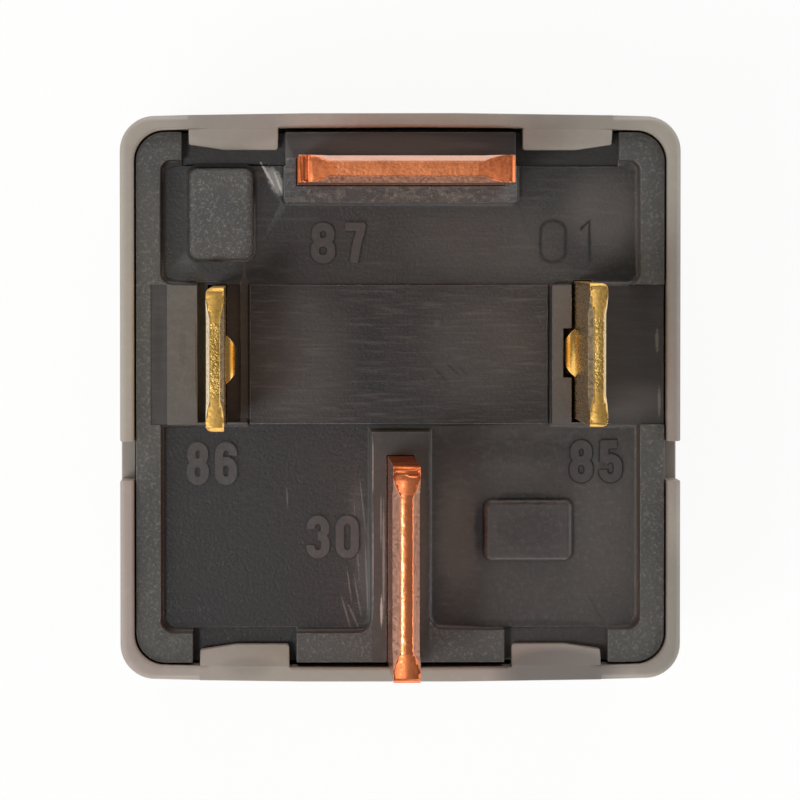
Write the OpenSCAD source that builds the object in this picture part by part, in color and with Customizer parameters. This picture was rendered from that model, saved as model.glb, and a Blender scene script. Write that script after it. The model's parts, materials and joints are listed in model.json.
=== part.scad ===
// Plug-in automotive relay with two wide load blades and two narrow coil blades.
// The closed end of the cover lies on z = 0, its centre is the origin, and the
// blades point up (+Z). The load blade 87 is on the +Y side, blade 30 on the -Y
// side, and the coil blades 85 and 86 on the +X and -X sides. Millimetres.

/* [Cover] */
// Width of the cover, along X
cover_w = 25.7; // [25.5:0.1:27]
// Depth of the cover, along Y
cover_d = 25.8; // [25.6:0.1:27]
// Height of the cover, from its closed end to its mouth
cover_h = 25; // [24.5:0.1:28]
// Thickness of the side walls
cover_wall = 0.65; // [0.5:0.05:0.8]
// Thickness of the closed end
cover_floor = 1; // [0.7:0.1:1.4]
// Outer radius of the four upright corners
cover_corner_r = 1.6; // [1:0.1:2.5]
// Rounding of the edge round the closed end
closed_edge_r = 0.8; // [0.3:0.1:1.2]
// Rounding of the outer edge of the mouth
mouth_edge_r = 0.3; // [0.1:0.05:0.4]
// How far the middle of each Y wall bows out at the mouth
wall_bow = 0.14; // [0.05:0.01:0.3]
// Width of the notch in each X wall
notch_w = 1.8; // [1:0.1:3]
// Depth of that notch below the mouth
notch_h = 3; // [1:0.1:3.4]

/* [Latches] */
// Width of each latch barb inside the mouth
barb_w = 4.1; // [3:0.1:4.5]
// How far a barb stands in from the wall
barb_reach = 0.95; // [0.6:0.05:1]
// Height of a barb
barb_h = 1.4; // [1.2:0.1:1.8]

/* [Base] */
// Gap between the base and the cover, all round
base_gap = 0.08; // [0.05:0.01:0.2]
// How far the base's rim lies below the cover's mouth
rim_drop = 0.3; // [0.1:0.05:0.8]
// Depth of the pockets below the rim
pocket_h = 1; // [0.6:0.1:1.3]
// Depth of the middle floor below the rim
middle_h = 0.7; // [0.4:0.1:1]
// Thickness of the base's plate under the pockets
plate_t = 2.1; // [1.6:0.1:2.3]

/* [Blades] */
// How far the blades stand out of the cover's mouth
blade_out = 11; // [9:0.1:13]
// Width of the two load blades
load_w = 9.5; // [9:0.1:9.5]
// Thickness of the two load blades
load_t = 1.2; // [1:0.05:1.2]
// Width of the two coil blades
coil_w = 6.3; // [6:0.1:6.3]
// Thickness of the two coil blades
coil_t = 0.8; // [0.6:0.05:0.8]
// Distance between the two coil blades, along X
coil_pitch = 16.8; // [16.8:0.05:17]

/* [Magnet] */
// Angle that the armature swings through
swing = 3.2; // [2.6:0.1:3.2]
// Outer radius of the winding
winding_r = 6.2; // [5:0.1:6.2]
// Thickness of the yoke's steel
yoke_t = 1.7; // [1.4:0.1:1.7]
// Thickness of the armature's steel
armature_t = 1.4; // [1:0.1:1.4]
// Gap left between the armature and the pole when it is pulled in
residual = 0.08; // [0.05:0.01:0.12]

/* [Hidden] */
$fn = 48;
eps = 0.01;

// Levels along Z
rim_z = cover_h - rim_drop;
pocket_z = rim_z - pocket_h;
middle_z = rim_z - middle_h;
side_z = rim_z - 0.35;
groove_z = rim_z - 0.1;
plate_z = pocket_z - plate_t;
skirt_z = plate_z - 0.7;
tip_z = cover_h + blade_out;

// Inside of the cover and outline of the base
cavity_w = cover_w - 2 * cover_wall;
cavity_d = cover_d - 2 * cover_wall;
step_in = 0.3;
base_w = cavity_w - 2 * base_gap;
base_d = cavity_d - 2 * base_gap;
base_corner_r = 1.35;
cavity_corner_r = base_corner_r + 0.07;
skirt_t = 1.1;

// Features of the base's upper face: X runs across, Y from blade 30 to blade 87
pocket_x = 11;
upper_y = [5.18, 10.9];
middle_y = [-1.24, 5.18];
// Lower pockets: outer edge of the -X one and of the +X one, and their inner edge
lower_out = [-10.8, -10.66];
lower_in = -1.24;
rib_x = 1.33;
rib_y = -1.56;
block_x = 5.35;
block_y = 8.92;
pocket_r = 0.5;
foot_r = 0.6;
block_r = 0.2;
pad_round = 0.3;

// Latch barbs and the notches in the base that take them: [side, centre along X]
barbs = [[1, 7.65], [-1, 7.15]];
barb_slant = [1.65, 0.24];
barb_round = 0.15;
barb_root = 0.2;
latch_notch_w = barb_w + 0.65;
latch_edge = 10.62;
ledge_z = cover_h - barb_h - 0.2;
notch_y = -2.9;

// Blades
y_87 = 10.33;
y_30 = -7.43;
y_coil = 2.08;
y_85 = y_coil + 0.1;
y_86 = y_coil - 0.1;
bump_85 = y_85 - 0.13;
bump_86 = y_86 - 0.23;
x_coil = coil_pitch / 2;
slot_gap = 0.03;
tip_corner = 0.18;
bump_h = 0.46;
bump_r = 0.7;
bump_half = 1.12;
bump_back = 0.8;
bump_end_r = sqrt(bump_half * bump_half + bump_back * bump_back);
coil_roll = 0.28;

// Magnet, from the pole face up to the yoke's foot
pole_z = 5.6;
shoe_t = 1.2;
shoe_r = 4.2;
core_r = 2.5;
stud_r = 1.9;
flange_t = 1;
flange_r = winding_r + 0.3;
tube_r = core_r + 0.8;
yoke_w = 13;
foot_top = 20;
foot_z = foot_top - yoke_t;
leg_out = -9.6;
leg_in = leg_out + yoke_t;
flange_gap = 0.05;
bobbin_low = pole_z + shoe_t + flange_gap;
bobbin_high = foot_z - flange_gap;

// Armature: it turns about X on the outer edge of the yoke's leg
hinge = [0, leg_out, pole_z];
arm_top = pole_z - residual;
arm_low = arm_top - armature_t;
arm_w = 10.4;
arm_end = 5.2;
tail_x = [1.6, 5];
tail_end = -11.6;
leaf_t = 0.3;
leaf_low = arm_low - leaf_t;
contact_x = -1.8;
contact_y = 8.5;
contact_r = 1.6;
contact_h = 1;
contact_gap = 0.05;
fixed_low = arm_low + contact_h + contact_gap;
foot87_low = fixed_low + 0.9;
stop_x = [5.2, 8.2];
stop_back = 10.3;
stop_t = 0.8;
leaf_stop_y = 9.2;
leaf_end = 10.3;
stop_top = pole_z - (leaf_stop_y - leg_out) * sin(swing) - (pole_z - leaf_low) * cos(swing) - 0.03;
rivet_r = 0.9;
rivet_head_r = 1.3;
leaf_rivets_y = [-4, 2.6];
yoke_rivet_x = 5;
yoke_rivet_y = -6.2;

// Return spring on the armature's tail
spring_x = 3.3;
spring_y = -10.75;
spring_r = 0.8;
spring_wire_r = 0.14;
spring_turns = 9;
spring_low = 6.9;
spring_high = 11.6;
lug_z = 12.6;

// Resistor across the coil
resistor_y = 7.1;
resistor_z = 20.2;
resistor_r = 1.15;
resistor_l = 6.2;
lead_r = 0.3;
coil_wire_r = 0.12;
tail_w = 2.4;
tail_low = 16.6;

// ---- shapes that repeat ----

module rounded_plate(w, d, h, r) {
    linear_extrude(h) {
        square([w - 2 * r, d], center = true);
        square([w, d - 2 * r], center = true);
        for (x = [-1, 1], y = [-1, 1])
            translate([x * (w / 2 - r), y * (d / 2 - r)]) circle(r);
    }
}

// Half section of a block, from its middle out to its side, with a rounded low and high edge
module edge_section(half, h, r_low, r_high) {
    difference() {
        square([half, h]);
        translate([half - r_low, 0]) difference() {
            translate([0, -eps]) square([r_low + eps, r_low + eps]);
            translate([0, r_low]) circle(r_low);
        }
        translate([half - r_high, h - r_high]) difference() {
            square([r_high + eps, r_high + eps]);
            circle(r_high);
        }
    }
}

// Rounded plate with rounded low and high edges too
module soft_block(w, d, h, r, r_low, r_high) {
    for (side = [0, 1])
        mirror([side, 0, 0]) translate([0, d / 2 - r, 0]) rotate([90, 0, 0])
            linear_extrude(d - 2 * r) edge_section(w / 2, h, r_low, r_high);
    for (side = [0, 1])
        mirror([0, side, 0]) translate([-(w / 2 - r), 0, 0]) rotate([90, 0, 90])
            linear_extrude(w - 2 * r) edge_section(d / 2, h, r_low, r_high);
    for (x = [-1, 1], y = [-1, 1])
        translate([x * (w / 2 - r), y * (d / 2 - r), 0])
            rotate_extrude() edge_section(r, h, r_low, r_high);
}

// A box given by its low and high corners
module box(low, high) {
    translate(low) cube(high - low);
}

// What is drawn for the +Y side, put on the +Y side (1) or mirrored to the -Y side (-1)
module on_side(side) {
    mirror([0, side < 0 ? 1 : 0, 0]) children();
}

// ---- tubes swept along a path, for the spring, the braid and the leads ----

function unit(v) = v / norm(v);
function tangent(path, i) =
    unit(path[min(i + 1, len(path) - 1)] - path[max(i - 1, 0)]);
// The last frame's side vector, turned as little as possible to fit the next tangent
function carried(path, i, side) = unit(side - (side * tangent(path, i)) * tangent(path, i));
function sides(path, i = 0, side = [1, 0, 0.01], out = []) =
    i == len(path) ? out
    : let(s = carried(path, i, side)) sides(path, i + 1, s, concat(out, [s]));

module tube(path, r, n = 8) {
    side = sides(path);
    rings = [for (i = [0 : len(path) - 1])
        let(a = side[i], b = cross(tangent(path, i), a))
        for (k = [0 : n - 1]) path[i] + r * (cos(360 * k / n) * a + sin(360 * k / n) * b)];
    last = n * (len(path) - 1);
    faces = concat(
        [[for (k = [0 : n - 1]) k]],
        [for (i = [0 : len(path) - 2], k = [0 : n - 1])
            [n * i + k, n * (i + 1) + k, n * (i + 1) + (k + 1) % n, n * i + (k + 1) % n]],
        [[for (k = [n - 1 : -1 : 0]) last + k]]);
    polyhedron(rings, faces, convexity = 10);
}

// ---- casing ----

// A slab along a Y wall whose outer face bows out, more towards the mouth
module bowed_slab(face, span, h) {
    steps = 13;
    edge = [for (i = [-steps : steps])
        let(x = i / steps) [x * span, -wall_bow * x * x]];
    translate([0, face, 0]) rotate([-atan(wall_bow / cover_h), 0, 0])
        linear_extrude(h) polygon(concat([[span, -0.6], [-span, -0.6]], edge));
}

// Latch barb: its upper face slopes down from the wall, its nose is slanted back on
// the side towards the cover's corner and rounded on the other side
module barb() {
    half = barb_w / 2;
    slope = 0.8;
    intersection() {
        translate([-half, 0, cover_h]) rotate([90, 0, 90]) linear_extrude(barb_w)
            polygon([[barb_root, 0], [0, 0], [-barb_reach, -slope], [-barb_reach, -barb_h],
                     [barb_root, -barb_h]]);
        translate([0, 0, cover_h - barb_h - 1]) linear_extrude(barb_h + 2) {
            polygon([[half, 1], [half, barb_slant[1] - barb_reach],
                     [half - barb_slant[0], -barb_reach], [barb_round - half, -barb_reach],
                     [barb_round - half, 1]]);
            translate([-half, barb_round - barb_reach]) square([2 * barb_round, 2]);
            translate([barb_round - half, barb_round - barb_reach]) circle(barb_round);
        }
    }
}

module cover() color([0.56, 0.52, 0.47]) {
    outer = cover_d / 2;
    inner = cavity_d / 2;
    difference() {
        union() {
            soft_block(cover_w, cover_d, cover_h, cover_corner_r, closed_edge_r, mouth_edge_r);
            for (b = barbs) on_side(b[0]) intersection() {
                box([-cover_w / 2, 0, closed_edge_r], [cover_w / 2, cover_d, cover_h]);
                union() {
                    bowed_slab(outer, cover_w / 2 - cover_corner_r, cover_h - mouth_edge_r);
                    intersection() {
                        bowed_slab(outer, cover_w / 2 - cover_corner_r, cover_h + 1);
                        box([-b[1] - barb_w / 2, 0, 0], [b[1] + barb_w / 2, cover_d, cover_h + 1]);
                    }
                }
            }
        }
        // the cavity, narrower below the step that the base rests on
        translate([0, 0, cover_floor])
            rounded_plate(cavity_w - 2 * step_in, cavity_d - 2 * step_in, cover_h,
                          cavity_corner_r - step_in);
        translate([0, 0, skirt_z])
            rounded_plate(cavity_w, cavity_d, cover_h, cavity_corner_r);
        for (side = [-1, 1]) on_side(side) intersection() {
            bowed_slab(inner, cavity_w / 2 - cavity_corner_r, cover_h + 1);
            box([-cavity_w / 2, 0, skirt_z], [cavity_w / 2, cover_d, cover_h + 1]);
        }
        // notches in the X walls
        box([-cover_w, notch_y - notch_w / 2, cover_h - notch_h],
            [cover_w, notch_y + notch_w / 2, cover_h + 1]);
    }
    for (b = barbs, side = [0, 1])
        on_side(b[0]) mirror([side, 0, 0]) translate([b[1], inner + 0.05, 0]) barb();
}

// Upright walls of a pocket: its plan, cut from the floor up
module pocket(x, y, floor, r = pocket_r) {
    translate([(x[0] + x[1]) / 2, (y[0] + y[1]) / 2, floor])
        rounded_plate(x[1] - x[0], y[1] - y[0], rim_z, r);
}

module raised_pad(x, y, top, r = 0.4) {
    translate([(x[0] + x[1]) / 2, (y[0] + y[1]) / 2, pocket_z - eps])
        soft_block(x[1] - x[0], y[1] - y[0], top - pocket_z + eps, r, 0, pad_round);
}

// Floors sunk into the base's upper face
module base_floors() {
    difference() {
        pocket([-pocket_x, pocket_x], upper_y, pocket_z);
        translate([0, block_y + base_d / 2, 0])
            rounded_plate(2 * block_x, base_d, cover_h, block_r);
    }
    difference() {
        union() {
            pocket([-pocket_x, -rib_x], [lower_out[0], lower_in], pocket_z, foot_r);
            pocket([rib_x, pocket_x], [lower_out[1], lower_in], pocket_z, foot_r);
            box([-pocket_x, lower_in - 1, pocket_z], [pocket_x, lower_in, cover_h]);
        }
        box([-rib_x, -base_d, 0], [rib_x, rib_y, cover_h]);
    }
    // middle floor, between the two coil blades
    box([-x_coil + 1.4, middle_y[0], middle_z], [x_coil - 1.45, middle_y[1], cover_h]);
    // groove in the strip outside blade 86, and the low side strip outside blade 85
    box([-11.45, middle_y[0], groove_z], [-10.7, middle_y[1], cover_h]);
    box([x_coil + 0.4, middle_y[0], side_z], [base_w, middle_y[1], cover_h]);
}

// Wells and fine steps beside the coil blades
module coil_wells() {
    well_z = pocket_z - 0.35;
    // blade 86: a wide well, then a step and a fine groove
    box([-x_coil - 0.9, middle_y[0] + 0.1, well_z], [-x_coil, middle_y[1] + 0.1, cover_h]);
    box([-x_coil, middle_y[0] + 0.1, well_z], [-x_coil + 1.05, middle_y[1], cover_h]);
    box([-x_coil + 1, middle_y[0] + 0.1, pocket_z], [-x_coil + 1.41, middle_y[1], cover_h]);
    box([-x_coil + 1.4, middle_y[0], pocket_z - 0.1], [-x_coil + 1.48, middle_y[1], cover_h]);
    // blade 85: a narrow gap, a notch for the blade's ridge, and a fine groove
    box([x_coil - 0.54, middle_y[0] + 0.1, well_z], [x_coil, middle_y[1], cover_h]);
    box([x_coil - 0.92, bump_85 - bump_half, pocket_z], [x_coil, bump_85 + bump_half, cover_h]);
    box([x_coil - 1.6, middle_y[0], pocket_z], [x_coil - 1.52, middle_y[1], cover_h]);
}

// Slot for a blade through the whole plate, given the blade's size in plan
module blade_slot(size, at) {
    slot = [size[0] + 2 * slot_gap, size[1] + 2 * slot_gap, cover_h];
    translate([at[0] - slot[0] / 2, at[1] - slot[1] / 2, 0]) cube(slot);
}

module base() color([0.16, 0.15, 0.15]) {
    bosses = [[-yoke_rivet_x, yoke_rivet_y], [yoke_rivet_x, yoke_rivet_y]];
    difference() {
        union() {
            difference() {
                translate([0, 0, skirt_z])
                    rounded_plate(base_w, base_d, rim_z - skirt_z, base_corner_r);
                // hollow under the plate
                translate([0, 0, skirt_z - 1])
                    rounded_plate(base_w - 2 * skirt_t, base_d - 2 * skirt_t,
                                  plate_z - skirt_z + 1, 0.8);
                base_floors();
                coil_wells();
                // notches for the cover's latch barbs
                for (b = barbs, side = [0, 1]) on_side(b[0]) mirror([side, 0, 0])
                    box([b[1] - latch_notch_w / 2, latch_edge, ledge_z],
                        [b[1] + latch_notch_w / 2, base_d, cover_h]);
            }
            raised_pad([-9.68, -6.76], [6.34, 10.5], rim_z - 0.05);
            raised_pad([3.8, 7.95], [-7.57, -4.68], rim_z - 0.45);
            // bosses and a bar that hold the yoke off the plate
            for (p = bosses)
                translate([p[0], p[1], foot_top]) cylinder(h = plate_z - foot_top + 1, r = 1.9);
            box([-4, 2.6, foot_top], [4, 4.2, plate_z + 1]);
        }
        blade_slot([load_w, load_t], [0, y_87]);
        blade_slot([load_t, load_w], [0, y_30]);
        blade_slot([coil_t, coil_w], [-x_coil, y_86]);
        blade_slot([coil_t, coil_w], [x_coil, y_85]);
        // blind slot for the backstop
        box([stop_x[0] - slot_gap, stop_back - stop_t - slot_gap, skirt_z],
            [stop_x[1] + slot_gap, stop_back + slot_gap, plate_z + 1.25]);
        // blade 30's slot runs out through the base's edge
        box([-load_t / 2 - slot_gap, -base_d, pocket_z - 0.6],
            [load_t / 2 + slot_gap, y_30, cover_h]);
        // blind holes for the yoke's rivets
        for (p = bosses)
            translate([p[0], p[1], foot_top - 1])
                cylinder(h = plate_z - foot_top + 1.6, r = rivet_r + 0.02);
    }
}

// ---- blades ----

// Cross-section of a blade: its -Y edges can be rolled over by the punch
module blade_section(w, t, roll) {
    translate([-w / 2, roll - t / 2]) square([w, t - roll]);
    translate([roll - w / 2, -t / 2]) square([w - 2 * roll, t / 2]);
    for (side = [-1, 1])
        translate([side * (w / 2 - roll), roll - t / 2]) circle(roll);
}

// A blade standing on z = 0 in the XZ plane, its tip bevelled on both faces. The
// bevels stop short of the blade's edges and run out there in curves.
module blade(w, t, h, bevel_d, bevel_l, roll = 0.05) {
    tilt = atan(bevel_d / bevel_l);
    run_out = 1.1;
    cut_end = w / 2 - 0.25;
    end_r = (run_out * run_out + bevel_d * bevel_d) / (2 * bevel_d);
    difference() {
        linear_extrude(h) blade_section(w, t, roll);
        for (side = [0, 1]) mirror([side, 0, 0])
            translate([-w / 2, 0, h - tip_corner]) rotate([0, -45, 0])
                box([-1, -t, 0], [1, t, 1]);
        for (side = [-1, 1]) on_side(side) translate([0, t / 2, h - bevel_l])
            rotate([tilt, 0, 0]) difference() {
                box([-cut_end, 0, -0.5], [cut_end, 1, 2 * bevel_l]);
                for (x = [-cut_end, cut_end])
                    translate([x, bevel_d - end_r, -1]) cylinder(h = 3 * bevel_l, r = end_r);
            }
    }
}

// Ridge pressed out of a coil blade's inner face, running across the blade
module ridge() {
    intersection() {
        translate([0, bump_h - bump_r, 0]) rotate([0, 90, 0])
            cylinder(h = 4, r = bump_r, center = true);
        translate([0, -bump_back, 0]) cylinder(h = 4, r = bump_end_r, center = true);
        box([-2, -coil_t / 2, -2], [2, 1, 2]);
    }
}

module terminal_87() color([0.78, 0.47, 0.32]) {
    low = skirt_z;
    leg_x = [contact_x - 2.8, contact_x + 2.8];
    translate([0, y_87, low]) blade(load_w, load_t, tip_z - low, 0.25, 1.7);
    difference() {
        union() {
            box([leg_x[0], y_87 - load_t / 2, foot87_low], [leg_x[1], y_87 + load_t / 2, low + 1]);
            box([leg_x[0], contact_y - 2, foot87_low],
                [leg_x[1], y_87 + load_t / 2, foot87_low + load_t]);
        }
        // hole for the fixed contact's stem
        translate([contact_x, contact_y, 0]) cylinder(h = 2 * foot87_low, r = 0.82);
    }
}

module terminal_30() color([0.8, 0.49, 0.34]) {
    low = skirt_z + 0.1;
    back = y_30 - load_w / 2 + 0.5;
    translate([0, y_30, low]) rotate([0, 0, 90]) blade(load_w, load_t, tip_z - low, 0.32, 1.7);
    box([-load_t / 2, back, foot_top + 0.4], [load_t / 2, y_30 + load_w / 2, low + 0.5]);
    // tail that carries the braid, behind the yoke
    box([-load_t / 2, back, 13], [load_t / 2, leg_out - 0.65, low]);
}

// Coil terminal on the +X side, its blade's middle at y and its bump's at bump_y
module coil_terminal(y, bump_y) {
    low = skirt_z - 0.3;
    translate([x_coil, y, low]) rotate([0, 0, 90])
        blade(coil_w, coil_t, tip_z - low, 0.16, 1.5, coil_roll);
    translate([x_coil - coil_t / 2, bump_y, rim_z - 0.1]) rotate([0, 0, 90]) ridge();
    box([x_coil - coil_t / 2, y_coil - tail_w / 2, tail_low],
        [x_coil + coil_t / 2, y_coil + tail_w / 2, low + 1]);
}

module terminal_85() color([0.8, 0.65, 0.4]) coil_terminal(y_85, bump_85);
module terminal_86() color([0.8, 0.65, 0.4]) mirror([1, 0, 0]) coil_terminal(y_86, bump_86);

// ---- magnet ----

module bobbin() color([0.75, 0.72, 0.62]) {
    difference() {
        union() {
            translate([0, 0, bobbin_low]) cylinder(h = bobbin_high - bobbin_low, r = tube_r);
            translate([0, 0, bobbin_low]) cylinder(h = flange_t, r = flange_r);
            translate([0, 0, bobbin_high - flange_t]) cylinder(h = flange_t, r = flange_r);
            // arms of the upper flange, out to the coil terminals
            box([-x_coil + coil_t / 2 + 0.02, y_coil - 1.6, bobbin_high - flange_t],
                [x_coil - coil_t / 2 - 0.02, y_coil + 1.6, bobbin_high]);
        }
        translate([0, 0, bobbin_low - 1])
            cylinder(h = bobbin_high - bobbin_low + 2, r = core_r + 0.05);
    }
}

module winding() color([0.65, 0.3, 0.15])
    translate([0, 0, bobbin_low + flange_t + 0.03]) difference() {
        height = bobbin_high - bobbin_low - 2 * flange_t - 0.06;
        cylinder(h = height, r = winding_r);
        translate([0, 0, -1]) cylinder(h = height + 2, r = tube_r + 0.02);
    }

module coil_tape() color([0.85, 0.7, 0.2])
    translate([0, 0, bobbin_low + flange_t + 0.4]) difference() {
        height = bobbin_high - bobbin_low - 2 * flange_t - 0.8;
        cylinder(h = height, r = winding_r + 0.14);
        translate([0, 0, -1]) cylinder(h = height + 2, r = winding_r + 0.02);
    }

module core() color([0.72, 0.72, 0.74]) {
    translate([0, 0, pole_z]) cylinder(h = shoe_t, r = shoe_r);
    translate([0, 0, pole_z + eps]) cylinder(h = foot_z - pole_z - eps, r = core_r);
    translate([0, 0, foot_z - eps]) cylinder(h = foot_top - foot_z + eps, r = stud_r);
}

module yoke() color([0.7, 0.7, 0.72]) {
    difference() {
        box([-yoke_w / 2, leg_out, foot_z], [yoke_w / 2, 4.4, foot_top]);
        translate([0, 0, foot_z - 1]) cylinder(h = yoke_t + 2, r = stud_r + 0.02);
        for (x = [-1, 1])
            translate([x * yoke_rivet_x, yoke_rivet_y, foot_z - 1])
                cylinder(h = yoke_t + 2, r = rivet_r + 0.05);
    }
    box([-yoke_w / 2, leg_out, pole_z], [yoke_w / 2, leg_in, foot_z + 0.5]);
    // ears that keep the armature from sliding sideways
    for (side = [0, 1]) mirror([side, 0, 0])
        box([arm_w / 2 + 0.15, leg_out, arm_low + 0.2], [yoke_w / 2, leg_in, pole_z + 1]);
    // lug that the return spring hangs on
    box([spring_x - 0.7, leg_out - 2, lug_z], [spring_x + 0.7, leg_out + 0.5, lug_z + 0.8]);
}

module yoke_rivets() color([0.72, 0.62, 0.4])
    for (x = [-1, 1]) translate([x * yoke_rivet_x, yoke_rivet_y, 0]) {
        translate([0, 0, foot_z - 0.45]) cylinder(h = 0.45, r = rivet_head_r);
        translate([0, 0, foot_z - eps]) cylinder(h = plate_z - foot_z + 0.4, r = rivet_r);
    }

// ---- armature: drawn pulled in, then let go by the swing angle ----

module released() {
    translate(hinge) rotate([-swing, 0, 0]) translate(-hinge) children();
}

module armature() color([0.74, 0.74, 0.76]) released() difference() {
    union() {
        box([-arm_w / 2, leg_out, arm_low], [arm_w / 2, arm_end, arm_top]);
        // tail behind the hinge, for the return spring
        box([tail_x[0], tail_end, arm_low], [tail_x[1], leg_out + 1, arm_top]);
    }
    // hole that the spring's hook goes through
    translate([spring_x, spring_y, arm_low - 1]) cylinder(h = armature_t + 2, r = 0.45);
    for (y = leaf_rivets_y)
        translate([0, y, arm_low - 1]) cylinder(h = armature_t + 2, r = rivet_r + 0.02);
}

module contact_leaf() color([0.8, 0.55, 0.4]) released() difference() {
    union() {
        box([-3.6, -8, leaf_low], [3.6, arm_end, arm_low]);
        // wide front end, with a longer side for the contact and a tongue for the backstop
        box([-4.6, arm_end - 1, leaf_low], [4.6, leaf_stop_y, arm_low]);
        box([-4.6, arm_end - 1, leaf_low], [1.4, leaf_end, arm_low]);
        box([4.5, leaf_stop_y - 1.6, leaf_low], [stop_x[1] - 0.6, leaf_stop_y, arm_low]);
        // rear tab for the braid
        box([-4.6, -11.3, leaf_low], [-2.4, -6, arm_low]);
    }
    for (y = leaf_rivets_y)
        translate([0, y, leaf_low - 1]) cylinder(h = leaf_t + 2, r = rivet_r + 0.02);
    translate([contact_x, contact_y, leaf_low - 1]) cylinder(h = leaf_t + 2, r = 0.82);
}

module leaf_rivets() color([0.72, 0.62, 0.4]) released()
    for (y = leaf_rivets_y) translate([0, y, 0]) {
        translate([0, 0, leaf_low - 0.35]) cylinder(h = 0.35, r = rivet_head_r);
        translate([0, 0, leaf_low - eps])
            cylinder(h = arm_top - leaf_low - 0.05, r = rivet_r);
    }

module moving_contact() color([0.85, 0.85, 0.82]) released()
    translate([contact_x, contact_y, 0]) {
        translate([0, 0, arm_low]) cylinder(h = contact_h, r = contact_r);
        translate([0, 0, leaf_low - 0.25]) cylinder(h = leaf_t + 0.3, r = 0.8);
        translate([0, 0, leaf_low - 0.3]) cylinder(h = 0.3, r = 1.1);
    }

module fixed_contact() color([0.85, 0.85, 0.82]) translate([contact_x, contact_y, 0]) {
    translate([0, 0, fixed_low]) cylinder(h = foot87_low - fixed_low, r = contact_r);
    translate([0, 0, foot87_low - eps]) cylinder(h = load_t + 0.2, r = 0.8);
    translate([0, 0, foot87_low + load_t]) cylinder(h = 0.3, r = 1.1);
}

// Strip that hangs from the base and turns in under the leaf's tongue
module backstop() color([0.75, 0.62, 0.35]) {
    box([stop_x[0], stop_back - stop_t, stop_top - stop_t],
        [stop_x[1], stop_back, plate_z + 1.2]);
    box([stop_x[0], stop_back - 2.8, stop_top - stop_t], [stop_x[1], stop_back, stop_top]);
}

// ---- spring, braid, resistor and leads ----

module return_spring() color([0.6, 0.6, 0.62]) {
    step = 30;
    turns = spring_turns * 360 / step;
    coil = [for (i = [0 : turns]) let(a = i * step)
        [spring_x + spring_r * cos(a), spring_y + spring_r * sin(a),
         spring_low + (spring_high - spring_low) * i / turns]];
    low_hook = [[spring_x + 0.7, spring_y, arm_low - 0.15], [spring_x + 0.1, spring_y, arm_low - 0.2],
                [spring_x, spring_y, arm_low], [spring_x, spring_y, spring_low - 0.8],
                [spring_x + 0.4, spring_y, spring_low - 0.3]];
    high_hook = [[spring_x + 0.3, spring_y, spring_high + 0.35],
                 [spring_x - 0.75, spring_y, lug_z - 0.35], [spring_x - 0.9, spring_y, lug_z],
                 [spring_x - 0.9, spring_y, lug_z + 0.85], [spring_x - 0.7, spring_y, lug_z + 1],
                 [spring_x + 0.3, spring_y, lug_z + 0.98]];
    tube(concat(low_hook, coil, high_hook), spring_wire_r, 6);
}

// The braid's route, from blade 30's tail down to the leaf's rear tab
braid_path = [[-1.09, -10.9, 15.4], [-1.1, -10.9, 14.4], [-1.5, -10.95, 13.2],
              [-2.2, -11, 11.8], [-3, -11, 10.2], [-3.5, -11, 8.6],
              [-3.7, -11, 7], [-3.6, -10.9, 5.6], [-3.6, -10.85, 4.25]];

module braid() color([0.8, 0.45, 0.3]) tube(braid_path, 0.5, 10);

module resistor() color([0.35, 0.5, 0.6])
    translate([-resistor_l / 2, resistor_y, resistor_z]) rotate([0, 90, 0])
        rotate_extrude() {
            bulb = 1.4;
            difference() {
                union() {
                    translate([0, bulb / 2]) square([resistor_r - 0.12, resistor_l - bulb]);
                    for (y = [0, resistor_l - bulb]) translate([0, y])
                        square([resistor_r, bulb]);
                }
            }
        }

// Lead of the resistor on the +X side, bent back to the coil terminal's tail
module resistor_lead() {
    out = x_coil - coil_t / 2 - lead_r;
    tube([[resistor_l / 2, resistor_y, resistor_z], [6, resistor_y, resistor_z],
          [6.7, resistor_y - 0.25, resistor_z], [7.2, resistor_y - 0.9, resistor_z],
          [out, y_coil + 2.2, resistor_z], [out, y_coil + 0.4, resistor_z]], lead_r, 12);
}

module resistor_lead_85() color([0.75, 0.75, 0.75]) resistor_lead();
module resistor_lead_86() color([0.75, 0.75, 0.75]) mirror([1, 0, 0]) resistor_lead();

// End of the coil's wire on the +X side, up over the flange to the terminal's tail
module coil_lead() {
    out = x_coil - coil_t / 2 - coil_wire_r;
    tube([[winding_r - 0.3, y_coil, bobbin_high - flange_t - 0.1],
          [flange_r + 0.2, y_coil - 1.9, bobbin_high - flange_t - 0.3],
          [out - 0.6, y_coil - 1.8, bobbin_high + 0.2],
          [out, y_coil - 0.6, bobbin_high + 0.4]], coil_wire_r);
}

module coil_lead_85() color([0.7, 0.35, 0.15]) coil_lead();
module coil_lead_86() color([0.7, 0.35, 0.15]) mirror([1, 0, 0]) coil_lead();

cover();
base();
terminal_87();
terminal_30();
terminal_85();
terminal_86();
bobbin();
winding();
coil_tape();
core();
yoke();
yoke_rivets();
armature();
return_spring();
contact_leaf();
leaf_rivets();
moving_contact();
fixed_contact();
backstop();
braid();
resistor();
resistor_lead_85();
resistor_lead_86();
coil_lead_85();
coil_lead_86();
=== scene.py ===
import bpy, bmesh
import json, math
from mathutils import Matrix, Vector, noise


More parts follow.
